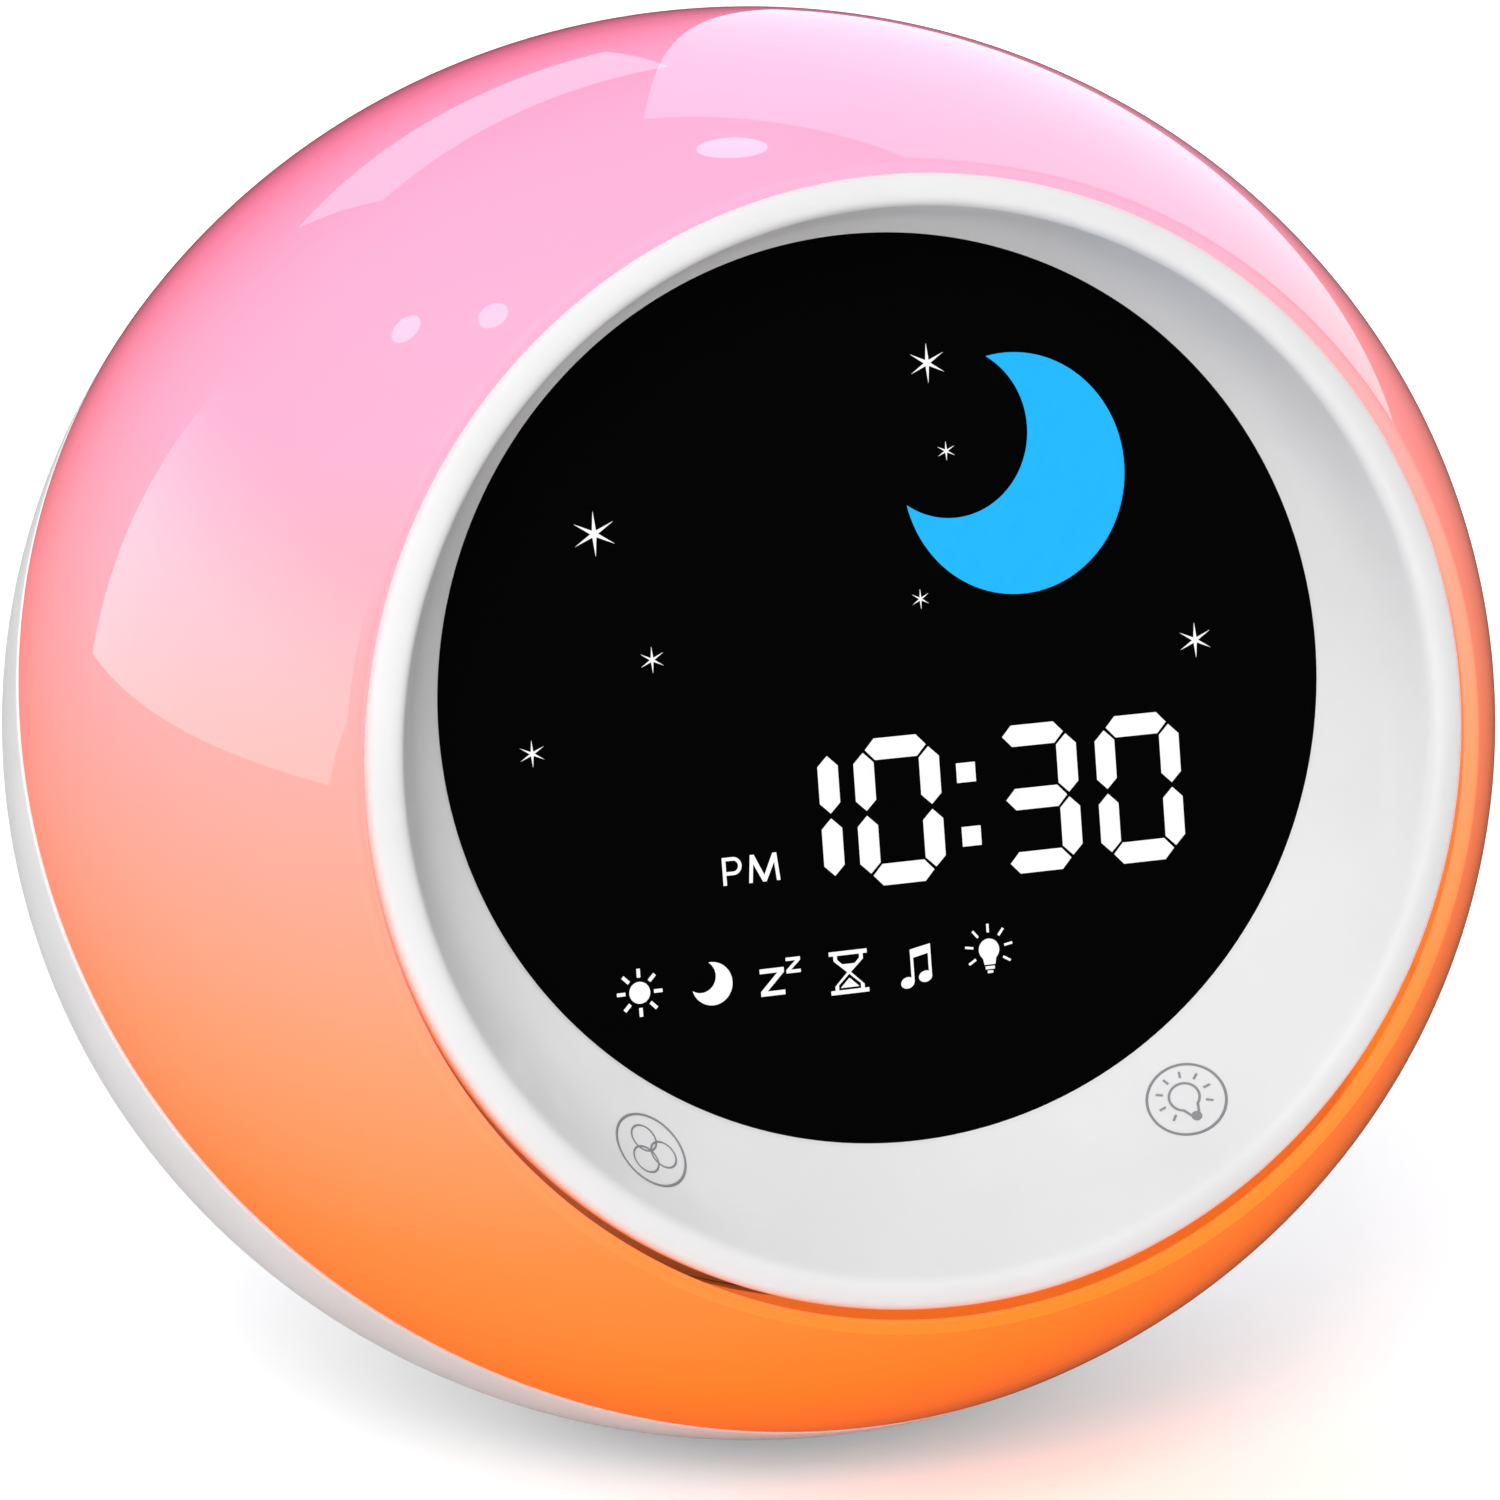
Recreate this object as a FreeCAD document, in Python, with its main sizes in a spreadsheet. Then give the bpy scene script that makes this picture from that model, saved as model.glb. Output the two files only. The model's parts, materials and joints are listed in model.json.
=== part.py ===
# Kids alarm clock with a night light: an oblate ball of 136 x 128 mm.
# A tinted translucent shell covers its upper front, a white housing its lower back.
# A dished white bezel with a round black display is let into the front.
# Frame: +Z up, the display faces -Y, origin on the resting plane at the centre of the base pad.
import FreeCAD, Part
import math
import os
import Sketcher
from FreeCAD import Vector as V, Placement, Rotation

doc = FreeCAD.newDocument("alarm_clock")

# ---------------------------------------------------------------- driving dimensions (mm, degrees)
sheet = doc.addObject("Spreadsheet::Sheet", "Params")
DIMS = [
    ("ball_rx", 67.9),        # half width and half depth of the ball
    ("ball_rz", 65.0),        # half height of the ball
    ("ball_z", 62.8),         # height of the ball's centre over the resting plane
    ("shell_wall", 2.2),
    ("housing_wall", 2.5),
    ("seam_tilt", 30.5),      # the parting plane's normal, above the horizontal
    ("seam_gap", 0.15),
    ("face_tilt", 11.4),      # the display's normal, above the horizontal
    ("face_dist", 44.6),      # ball centre to the bezel's front plane
    ("bezel_rx", 50.3),
    ("bezel_rv", 48.2),
    ("lip_rx", 47.3),
    ("lip_rv", 45.5),
    ("flange_deep", 2.5),
    ("bowl_deep", 13.0),
    ("recess_deep", 9.6),
    ("window_rx", 40.8),
    ("window_rv", 39.1),
    ("window_up", 4.2),
    ("lens_rx", 42.3),
    ("lens_rv", 40.6),
    ("lens_thick", 2.0),
    ("back_y", 50.0),         # flat control panel at the back
    ("base_cut", 62.0),       # flat of the base, below the ball's centre
    ("base_pad_r", 17.0),
    ("base_pad_tall", 1.6),
    ("button_r", 3.0),
    ("button_flange_r", 4.2),
    ("button_proud", 1.4),
    ("button_travel", 0.8),
    ("button_pitch", 12.0),
    ("button_up", 8.0),
    ("door_w", 50.0),
    ("door_h", 33.0),
    ("door_thick", 2.0),
    ("door_up", -18.0),
    ("cell_r", 5.15),
    ("cell_len", 43.6),
    ("speaker_up", 27.0),
    ("speaker_r", 14.0),
    ("sound_hole_r", 1.0),
    ("boss_r", 3.7),
    ("screw_r", 1.45),
    ("screw_head_r", 2.8),
    ("knob_travel", 3.0),
]
for i, (alias, value) in enumerate(DIMS, start=1):
    sheet.set("A%d" % i, alias)
    sheet.set("B%d" % i, repr(value))
    sheet.setAlias("B%d" % i, alias)
doc.recompute()


def val(alias):
    return float(sheet.get(alias))


P = "Params."
TAU = "(Params.face_tilt * 1 deg)"
SIG = "(Params.seam_tilt * 1 deg)"


def bind(obj, **exprs):
    for prop, e in exprs.items():
        if isinstance(e, (int, float)):
            setattr(obj, prop, e)
        else:
            obj.setExpression(prop, e)
    return obj


def at(obj, x, y, z, rot=None):
    """World position; z is counted from the ball's centre. Each is a number or an expression."""
    obj.Placement = Placement(V(0, 0, 0), rot or Rotation())
    obj.setExpression("Placement.Base.x", str(x))
    obj.setExpression("Placement.Base.y", str(y))
    obj.setExpression("Placement.Base.z", "Params.ball_z + (%s)" % z)
    return obj


FACE_ROT = Rotation(V(1, 0, 0), 90.0 - val("face_tilt"))    # local Z along the display's normal
SEAM_ROT = Rotation(V(1, 0, 0), 90.0 - val("seam_tilt"))
REAR_ROT = Rotation(V(1, 0, 0), -90.0)                      # local Z towards the back


def on_face(obj, x, v, w):
    """Position in the display's frame: x across, v up the face, w out of the bezel's front plane."""
    ww = "(Params.face_dist + (%s))" % w
    at(obj, x,
       "((%s) * sin%s - %s * cos%s)" % (v, TAU, ww, TAU),
       "((%s) * cos%s + %s * sin%s)" % (v, TAU, ww, TAU),
       FACE_ROT)
    return obj


def on_rear(obj, x, y, z):
    """A piece whose local Z points to the back, with its base at y."""
    return at(obj, x, y, z, REAR_ROT)


def cyl(name, r, h):
    return bind(doc.addObject("Part::Cylinder", name), Radius=r, Height=h)


def box(name, l, w, h):
    return bind(doc.addObject("Part::Box", name), Length=l, Width=w, Height=h)


def ball(name, inset):
    """The ball's surface moved in by inset: half an ellipse turned about the upright axis."""
    b = doc.addObject("PartDesign::Body", name)
    s = b.newObject("Sketcher::SketchObject", name + "_profile")
    s.AttachmentSupport = [([f for f in b.Origin.OriginFeatures if f.Role == "XZ_Plane"][0], "")]
    s.MapMode = "FlatFace"
    rx, rz = val("ball_rx") - 2, val("ball_rz") - 2
    arc = s.addGeometry(Part.ArcOfEllipse(Part.Ellipse(V(rx, 0, 0), V(0, rz, 0), V(0, 0, 0)),
                                          -math.pi / 2, math.pi / 2), False)
    line = s.addGeometry(Part.LineSegment(V(0, rz, 0), V(0, -rz, 0)), False)
    s.exposeInternalGeometry(arc)
    s.addConstraint(Sketcher.Constraint("Coincident", arc, 3, -1, 1))
    s.addConstraint(Sketcher.Constraint("Coincident", arc, 2, line, 1))
    s.addConstraint(Sketcher.Constraint("Coincident", arc, 1, line, 2))
    s.addConstraint(Sketcher.Constraint("PointOnObject", line, 1, -2))
    s.addConstraint(Sketcher.Constraint("PointOnObject", line, 2, -2))
    s.addConstraint(Sketcher.Constraint("Horizontal", line + 1))
    s.addConstraint(Sketcher.Constraint("Distance", line + 1, 2 * rx))
    s.setExpression("Constraints[%d]" % (s.ConstraintCount - 1), "2 * (Params.ball_rx - (%s))" % inset)
    s.addConstraint(Sketcher.Constraint("Distance", line, 2 * rz))
    s.setExpression("Constraints[%d]" % (s.ConstraintCount - 1), "2 * (Params.ball_rz - (%s))" % inset)
    r = b.newObject("PartDesign::Revolution", name + "_turn")
    r.Profile = s
    r.ReferenceAxis = (s, ["V_Axis"])
    r.Angle = 360
    b.Tip = r
    return at(b, 0, 0, 0, Rotation(V(0, 0, 1), 65))      # the surface's own seam lies clear of the joints


def cut(name, a, b):
    o = doc.addObject("Part::Cut", name)
    o.Base, o.Tool = a, b
    return o


def common(name, a, b):
    o = doc.addObject("Part::Common", name)
    o.Base, o.Tool = a, b
    return o


def fuse(name, items):
    o = doc.addObject("Part::MultiFuse", name)
    o.Shapes = items
    return o


def group(name, items):
    o = doc.addObject("Part::Compound", name)
    o.Links = items
    return o


def oval(name, rx, rv, v, w):
    o = bind(doc.addObject("Part::Ellipse", name), MajorRadius=rx, MinorRadius=rv)
    return on_face(o, 0, v, w)


def oval_prism(name, rx, rv, v, w_low, height):
    """A right elliptical prism along the display's normal, from w_low upward."""
    e = oval(name + "_e", rx, rv, v, w_low)
    o = doc.addObject("Part::Extrusion", name)
    o.Base = e
    o.DirMode = "Custom"
    o.Dir = FACE_ROT.multVec(V(0, 0, 1))
    o.Solid = True
    bind(o, LengthFwd=height)
    return o


def oval_loft(name, rings):
    es = [oval("%s_e%d" % (name, i), *r) for i, r in enumerate(rings)]
    o = doc.addObject("Part::Loft", name)
    o.Sections, o.Solid, o.Ruled = es, True, True
    return o


# ---------------------------------------------------------------- sketched bodies
def new_body(name):
    return doc.addObject("PartDesign::Body", name)


def plane(body, role="XY_Plane"):
    return [f for f in body.Origin.OriginFeatures if f.Role == role][0]


def sketch_on(body, name, role="XY_Plane", lift=None):
    s = body.newObject("Sketcher::SketchObject", name)
    s.AttachmentSupport = [(plane(body, role), "")]
    s.MapMode = "FlatFace"
    if lift is not None:
        s.setExpression("AttachmentOffset.Base.z", lift)
    return s


def ring_sketch(s, circles):
    """circles: list of (x, y, radius), each a number or an expression."""
    for x, y, r in circles:
        i = s.addGeometry(Part.Circle(V(0, 0, 0), V(0, 0, 1), 1.0), False)
        s.addConstraint(Sketcher.Constraint("Radius", i, 1.0))
        k = s.ConstraintCount - 1
        s.setExpression("Constraints[%d]" % k, str(r))
        if (x, y) == (0, 0):
            s.addConstraint(Sketcher.Constraint("Coincident", i, 3, -1, 1))
        else:
            s.addConstraint(Sketcher.Constraint("DistanceX", -1, 1, i, 3, 1.0))
            s.setExpression("Constraints[%d]" % (s.ConstraintCount - 1), str(x))
            s.addConstraint(Sketcher.Constraint("DistanceY", -1, 1, i, 3, 1.0))
            s.setExpression("Constraints[%d]" % (s.ConstraintCount - 1), str(y))


def rect_sketch(s, width, height, cx=0.0, cy=0.0, w0=10.0, h0=10.0):
    """A rectangle centred at (cx, cy); width and height are expressions, w0 and h0 first guesses."""
    x0, x1, y0, y1 = cx - w0 / 2, cx + w0 / 2, cy - h0 / 2, cy + h0 / 2
    pts = [V(x0, y0, 0), V(x1, y0, 0), V(x1, y1, 0), V(x0, y1, 0)]
    g = [s.addGeometry(Part.LineSegment(pts[i], pts[(i + 1) % 4]), False) for i in range(4)]
    for i in range(4):
        s.addConstraint(Sketcher.Constraint("Coincident", g[i], 2, g[(i + 1) % 4], 1))
    for i in (0, 2):
        s.addConstraint(Sketcher.Constraint("Horizontal", g[i]))
    for i in (1, 3):
        s.addConstraint(Sketcher.Constraint("Vertical", g[i]))
    for args, e in ((("DistanceX", g[0], 1, g[0], 2, w0), str(width)),
                    (("DistanceY", g[1], 1, g[1], 2, h0), str(height)),
                    (("DistanceX", g[0], 1, -1, 1, -x0), "(%s) / 2 - (%s)" % (width, cx)),
                    (("DistanceY", g[0], 1, -1, 1, -y0), "(%s) / 2 - (%s)" % (height, cy))):
        s.addConstraint(Sketcher.Constraint(*args))
        s.setExpression("Constraints[%d]" % (s.ConstraintCount - 1), e)


def pad(body, sk, length, name):
    f = body.newObject("PartDesign::Pad", name)
    f.Profile = sk
    bind(f, Length=length)
    sk.Visibility = False
    body.Tip = f
    return f


def pocket(body, sk, length, name, reverse=True):
    f = body.newObject("PartDesign::Pocket", name)
    f.Profile = sk
    f.Reversed = reverse
    bind(f, Length=length)
    body.Tip = f
    return f


NODES = []       # (node name, object)


def node(name, obj):
    obj.Label = name
    NODES.append((name, obj))
    return obj


# ================================================================ the two outer shells
half_front = box("half_front", 170, 170, 90)
half_front.Placement = Placement(V(0, 0, 0), SEAM_ROT)
# corner of the box in the seam's frame is (-85, -85, gap)
half_front.setExpression("Placement.Base.x", "-85")
half_front.setExpression("Placement.Base.y", "-85 * sin%s - Params.seam_gap * cos%s" % (SIG, SIG))
half_front.setExpression("Placement.Base.z", "Params.ball_z - 85 * cos%s + Params.seam_gap * sin%s" % (SIG, SIG))

half_rear = box("half_rear", 170, 170, 90)
half_rear.Placement = Placement(V(0, 0, 0), SEAM_ROT)
half_rear.setExpression("Placement.Base.x", "-85")
half_rear.setExpression("Placement.Base.y", "-85 * sin%s + (90 + Params.seam_gap) * cos%s" % (SIG, SIG))
half_rear.setExpression("Placement.Base.z", "Params.ball_z - 85 * cos%s - (90 + Params.seam_gap) * sin%s" % (SIG, SIG))

shell_hollow = cut("shell_hollow", ball("shell_out", 0), ball("shell_in", "Params.shell_wall"))
shell_front = common("shell_front", shell_hollow, half_front)
face_hole = oval_prism("face_hole", "Params.bezel_rx + 0.2", "Params.bezel_rv + 0.2", 0, -25, 60)
node("light_shell", cut("light_shell_cut", shell_front, face_hole))

trim = at(box("trim", 170, "85 + Params.back_y", 160), -85, -85, "-Params.base_cut")
trim_in = at(box("trim_in", 170, "85 + Params.back_y - Params.housing_wall", 160), -85, -85,
             "-Params.base_cut + Params.housing_wall")
house_out = common("house_out", ball("house_ball", 0), trim)
house_in = common("house_in", ball("house_ball_in", "Params.housing_wall"), trim_in)
house_wall = common("house_wall", cut("house_hollow", house_out, house_in), half_rear)

BOSSES = [(-24, 30), (24, 30), (-34, -8), (34, -8)]
boss_solids = []
for i, (bx, bz) in enumerate(BOSSES):
    boss_solids.append(on_rear(cyl("boss%d" % i, "Params.boss_r", "Params.back_y - Params.housing_wall - 23.5"), bx, 24, bz))
# frame around the battery bay, for the door to drop into
door_seat_box = at(box("door_seat", "Params.door_w + 6", 4.6, "Params.door_h + 6"),
               "-Params.door_w / 2 - 3", "Params.back_y - 6.6", "Params.door_up - Params.door_h / 2 - 3")
door_seat = common("door_seat_in_ball", door_seat_box, ball("seat_ball", 1.2))
house_fused = fuse("house_fused", [house_wall] + boss_solids + [door_seat])

tools = []
for i, (bx, bz) in enumerate(BOSSES):
    tools.append(on_rear(cyl("cbore%d" % i, "Params.screw_head_r + 0.4", 30), bx, 27, bz))
    tools.append(on_rear(cyl("sbore%d" % i, "Params.screw_r + 0.3", 30), bx, 20, bz))
tools.append(at(box("door_pocket", "Params.door_w + 0.5", "Params.door_thick + 1", "Params.door_h + 0.5"),
                "-Params.door_w / 2 - 0.25", "Params.back_y - Params.door_thick - 0.1",
                "Params.door_up - Params.door_h / 2 - 0.25"))
tools.append(at(box("bay_hole", 46.6, 12, "Params.door_h - 1.0"), -23.3, "Params.back_y - 8",
                "Params.door_up - Params.door_h / 2 + 0.5"))
BUTTONS = ["time_button", "alarm_button", "plus_button", "minus_button", "volume_button"]
for i in range(5):
    tools.append(on_rear(cyl("button_hole%d" % i, "Params.button_r + 0.25", 12), "Params.button_pitch * %d" % (i - 2),
                         "Params.back_y - 6", "Params.button_up"))
hole_places = [(0.0, 0.0)]
for ring, count in ((4.0, 6), (8.0, 12), (11.6, 18)):
    for k in range(count):
        a = 2 * math.pi * k / count
        hole_places.append((ring * math.cos(a), ring * math.sin(a)))
for i, (hx, hz) in enumerate(hole_places):
    tools.append(on_rear(cyl("sound_hole%d" % i, "Params.sound_hole_r", 12), "%.3f" % hx, "Params.back_y - 6",
                         "Params.speaker_up + %.3f" % hz))
tools.append(at(box("socket_hole", 9.6, 12, 3.9), 27.65, "Params.back_y - 6", 17.05))
tools.append(at(box("switch_slot", 8.6, 12, 3.6), -36.3, "Params.back_y - 6", 16.2))
tools.append(at(cyl("pad_seat", "Params.base_pad_r + 0.1", "Params.base_pad_tall - 0.8 + 0.001"), 0, 0, "-Params.base_cut - 0.001"))
house_tools = fuse("house_tools", tools)
node("rear_housing", cut("rear_housing_cut", house_fused, house_tools))

# hoop that laps the seam inside both shells
hoop_ball = cut("hoop_ball", ball("hoop_out", "Params.housing_wall + 0.05"), ball("hoop_in", "Params.housing_wall + 1.6"))
hoop_slab = box("hoop_slab", 170, 170, 9)
hoop_slab.Placement = Placement(V(0, 0, 0), SEAM_ROT)
hoop_slab.setExpression("Placement.Base.x", "-85")
hoop_slab.setExpression("Placement.Base.y", "-85 * sin%s + 4.5 * cos%s" % (SIG, SIG))
hoop_slab.setExpression("Placement.Base.z", "Params.ball_z - 85 * cos%s - 4.5 * sin%s" % (SIG, SIG))
hoop_ring = common("hoop_ring", hoop_ball, hoop_slab)
node("joining_hoop", hoop_ring)

# ================================================================ dished bezel
flange = oval_prism("flange", "Params.bezel_rx", "Params.bezel_rv", 0, "-Params.flange_deep", "Params.flange_deep")
bowl = oval_loft("bowl", [
    ("Params.bezel_rx - 1.7", "Params.bezel_rv - 1.6", 0, "-Params.flange_deep + 0.4"),
    ("Params.lens_rx + 1.7", "Params.lens_rv + 1.7", "Params.window_up", "-Params.bowl_deep")])
BEZEL_BOSSES = [(-44.5, 16), (44.5, 16), (-44.5, -12), (44.5, -12)]
bz = [on_face(cyl("bezel_boss%d" % i, 3.1, 11.7), x, v, -21.7) for i, (x, v) in enumerate(BEZEL_BOSSES)]
bezel_solid = fuse("bezel_solid", [flange, bowl] + bz)
dish = oval_loft("dish", [
    ("Params.lip_rx", "Params.lip_rv", 0, 0.001),
    ("Params.window_rx", "Params.window_rv", "Params.window_up", "-Params.recess_deep - 0.25")])
lens_seat = oval_prism("lens_seat", "Params.lens_rx + 0.2", "Params.lens_rv + 0.2", "Params.window_up",
                       "-Params.bowl_deep - 1", "Params.bowl_deep + 1 - Params.recess_deep - 0.2")
bb = [on_face(cyl("bezel_bore%d" % i, "Params.screw_r + 0.05", 9.7), x, v, -21.8) for i, (x, v) in enumerate(BEZEL_BOSSES)]
node("bezel", cut("bezel_cut", bezel_solid, fuse("bezel_tools", [dish, lens_seat] + bb)))

# ================================================================ display
node("display_lens", oval_prism("lens", "Params.lens_rx", "Params.lens_rv", "Params.window_up",
                                "-Params.recess_deep - 0.25 - Params.lens_thick", "Params.lens_thick"))

b = new_body("display_module_body")
s = sketch_on(b, "module_outline")
rect_sketch(s, 60, 44, 0, 0, 60, 44)
pad(b, s, 5.6, "module_pad")
s2 = sketch_on(b, "module_windows", lift="5.6")
rect_sketch(s2, 44, 14, 0, -8, 44, 14)
pocket(b, s2, 2.0, "module_window", reverse=False)
on_face(b, 0, "Params.window_up", -18.0)
node("display_module", b)

db = oval_prism("board_disc", 38, 36, "Params.window_up", -19.6, 1.6)
dh = [on_face(cyl("board_hole%d" % i, 1.6, 4), x, v, -21) for i, (x, v) in enumerate([(-33, 4), (33, 4)])]
node("display_board", cut("display_board_cut", db, fuse("board_holes", dh)))

# touch springs that press on the back of the dish, under the two printed touch marks
TOUCH = [(-22.5, -36.0), (22.5, -36.0)]
tp = [on_face(cyl("touch_plate%d" % i, 5.0, 0.4), x, v, -22.0) for i, (x, v) in enumerate(TOUCH)]
tl = [on_face(cyl("touch_stem%d" % i, 2.0, 8.3), x, v, -21.6) for i, (x, v) in enumerate(TOUCH)]
node("touch_springs", group("touch_group", [fuse("touch%d" % i, [tp[i], tl[i]]) for i in range(2)]))

# ================================================================ inner frame with posts
plate = oval_prism("frame_plate", 58, 55.5, 0, -24, 2)
posts, post_bores = [], []
for i, (px, pz) in enumerate(BOSSES):
    posts.append(on_rear(cyl("post%d" % i, 3.5, 39.7), px, -16 if pz > 0 else -24, pz))
    posts[-1].setExpression("Height", "24 + %d" % (16 if pz > 0 else 24))
    post_bores.append(on_rear(cyl("post_bore%d" % i, "Params.screw_r + 0.05", 22), px, 4, pz))
STAND = [(-22, 14), (22, 14), (-22, -14), (22, -14)]
stand = [on_face(cyl("standoff%d" % i, 2.5, 3.0), x, v, -26.4) for i, (x, v) in enumerate(STAND)]
frame_tools = [on_face(cyl("frame_hole%d" % i, "Params.screw_r + 0.25", 6), x, v, -26) for i, (x, v) in enumerate(BEZEL_BOSSES)]
frame_tools.append(on_face(box("frame_slot", 24, 5, 6), -12, 26, -26))
# the posts end inside the plate: nothing of them stands in front of it
front_clear = oval_prism("front_clear", 62, 60, 0, -22, 30)
frame_tools.append(front_clear)
frame_posts = fuse("frame_posts", [plate] + posts + stand)
node("inner_frame", cut("inner_frame_cut", frame_posts, fuse("frame_tools", frame_tools + post_bores)))

b = new_body("main_board_body")
s = sketch_on(b, "main_outline")
rect_sketch(s, 54, 38, 0, 0, 54, 38)
pad(b, s, 1.6, "main_pad")
on_face(b, 0, 0, -28.0)
node("main_board", b)
chips = [on_face(box("chip0", 12, 12, 1.6), -16, -8, -29.6), on_face(box("chip1", 8, 5, 1.4), 6, 4, -29.4),
         on_face(box("chip2", 6, 6, 3.2), 12, -13, -31.2), on_face(box("header", 12, 4, 6), -4, 12, -34.0)]
node("board_parts", group("board_parts_group", chips))

# ================================================================ night light
ring_out = oval_prism("light_ring_out", 57.0, 54.5, 0, -22, 1.6)
ring_in = oval_prism("light_ring_in", 51.2, 49.2, 0, -23, 4)
node("light_board", cut("light_board_cut", ring_out, ring_in))
leds = []
for k in range(16):
    a = 2 * math.pi * (k + 0.5) / 16
    leds.append(on_face(box("led%d" % k, 2.8, 2.8, 1.5), "%.3f" % (54.3 * math.cos(a) - 1.4),
                        "%.3f" % (52.05 * math.sin(a) - 1.4), -20.4))
node("night_light_leds", group("leds", leds))
dif = cut("dif_ring", oval_prism("dif_out", 57.4, 54.9, 0, -20.4, 4.9), oval_prism("dif_in", 51.2, 49.2, 0, -21, 7))
dif_groove = cut("dif_groove", oval_prism("dif_g_out", 56.6, 54.1, 0, -21, 4.6), oval_prism("dif_g_in", 52.0, 50.0, 0, -22, 8))
node("light_diffuser", cut("light_diffuser_cut", dif, dif_groove))

# ================================================================ speaker
b = new_body("speaker_frame_body")
s = sketch_on(b, "basket_rim")
ring_sketch(s, [(0, 0, "Params.speaker_r"), (0, 0, "Params.speaker_r - 2")])
pad(b, s, 5.0, "basket_rim_pad")
s = sketch_on(b, "basket_floor")
ring_sketch(s, [(0, 0, "Params.speaker_r"), (0, 0, 4.0)])
pad(b, s, 1.2, "basket_floor_pad")
on_rear(b, 0, "Params.back_y - Params.housing_wall - 5.0", "Params.speaker_up")
node("speaker_basket", b)
b = new_body("speaker_magnet_body")
s = sketch_on(b, "magnet_ring")
ring_sketch(s, [(0, 0, 8.0)])
pad(b, s, 5.0, "magnet_pad")
on_rear(b, 0, "Params.back_y - Params.housing_wall - 10.0", "Params.speaker_up")
node("speaker_magnet", b)
cone = doc.addObject("Part::Cone", "cone_out")
bind(cone, Radius1=4.2, Radius2="Params.speaker_r - 2.3", Height=3.0)
on_rear(cone, 0, "Params.back_y - Params.housing_wall - 3.4", "Params.speaker_up")
cone_in = doc.addObject("Part::Cone", "cone_in")
bind(cone_in, Radius1=3.9, Radius2="Params.speaker_r - 2.6", Height=3.0)
on_rear(cone_in, 0, "Params.back_y - Params.housing_wall - 2.9", "Params.speaker_up")
node("speaker_cone", cut("speaker_cone_cut", cone, cone_in))

# ================================================================ battery bay
tray_out = at(box("tray_out", 49, 13.4, "Params.door_h + 2"), -24.5, "Params.back_y - 20.0", "Params.door_up - Params.door_h / 2 - 1")
tray_in = at(box("tray_in", 46, 13, "Params.door_h - 1.0"), -23, "Params.back_y - 18.6", "Params.door_up - Params.door_h / 2 + 0.5")
node("battery_tray", cut("battery_tray_cut", tray_out, tray_in))
cells = []
for i in range(3):
    c = cyl("cell%d" % i, "Params.cell_r", "Params.cell_len")
    at(c, "-Params.cell_len / 2 - 0.4", "Params.back_y - 13.3", "Params.door_up + %.2f" % ((i - 1) * 10.5), Rotation(V(0, 1, 0), 90))
    t = cyl("cell_tip%d" % i, 1.8, 0.8)
    at(t, "Params.cell_len / 2 - 0.4 - 0.001", "Params.back_y - 13.3", "Params.door_up + %.2f" % ((i - 1) * 10.5), Rotation(V(0, 1, 0), 90))
    cells.append(fuse("cell_whole%d" % i, [c, t]))
node("battery_cells", group("cells", cells))
contacts = []
for sx, x in ((-1, -22.95), (1, 22.65)):
    for i in range(3):
        contacts.append(at(box("contact%s%d" % ("n" if sx < 0 else "p", i), 0.3, 8, 8), x, "Params.back_y - 17.3",
                           "Params.door_up + %.2f - 4" % ((i - 1) * 10.5)))
node("battery_contacts", group("contacts", contacts))

b = new_body("battery_door_body")
s = sketch_on(b, "door_outline")
rect_sketch(s, "Params.door_w", "Params.door_h", 0, 0, 50, 33)
pad(b, s, "Params.door_thick", "door_pad")
doc.recompute()
base = b.Tip
edges = ["Edge%d" % (i + 1) for i, e in enumerate(base.Shape.Edges)
         if abs(e.Length - val("door_thick")) < 1e-6]
f = b.newObject("PartDesign::Fillet", "door_corners")
f.Base = (base, edges)
f.Radius = 0.2
b.Tip = f
s = sketch_on(b, "grip_slots", lift="Params.door_thick")
rect_sketch(s, 12, 1.2, 0, -9.5, 12, 1.2)
rect_sketch(s, 12, 1.2, 0, -11.9, 12, 1.2)
rect_sketch(s, 12, 1.2, 0, -7.1, 12, 1.2)
pocket(b, s, 0.7, "grip_grooves", reverse=False)
on_rear(b, 0, "Params.back_y - Params.door_thick", "Params.door_up")
node("battery_door", b)

# ================================================================ rear push buttons
for i, name in enumerate(BUTTONS):
    b = new_body(name + "_body")
    s = sketch_on(b, "%s_flange" % name)
    ring_sketch(s, [(0, 0, "Params.button_flange_r")])
    pad(b, s, 1.0, "%s_flange_pad" % name)
    s = sketch_on(b, "%s_stem" % name)
    ring_sketch(s, [(0, 0, "Params.button_r")])
    pad(b, s, "1.0 + 0.3 + Params.housing_wall + Params.button_proud", "%s_stem_pad" % name)
    doc.recompute()
    base = b.Tip
    top = max((e.BoundBox.ZMax, "Edge%d" % (k + 1)) for k, e in enumerate(base.Shape.Edges)
              if abs(e.BoundBox.ZMin - e.BoundBox.ZMax) < 1e-6)[1]
    f = b.newObject("PartDesign::Fillet", "%s_round" % name)
    f.Base = (base, [top])
    f.Radius = 0.6
    b.Tip = f
    on_rear(b, "Params.button_pitch * %d" % (i - 2), "Params.back_y - Params.housing_wall - 1.3", "Params.button_up")
    node(name, b)

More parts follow.
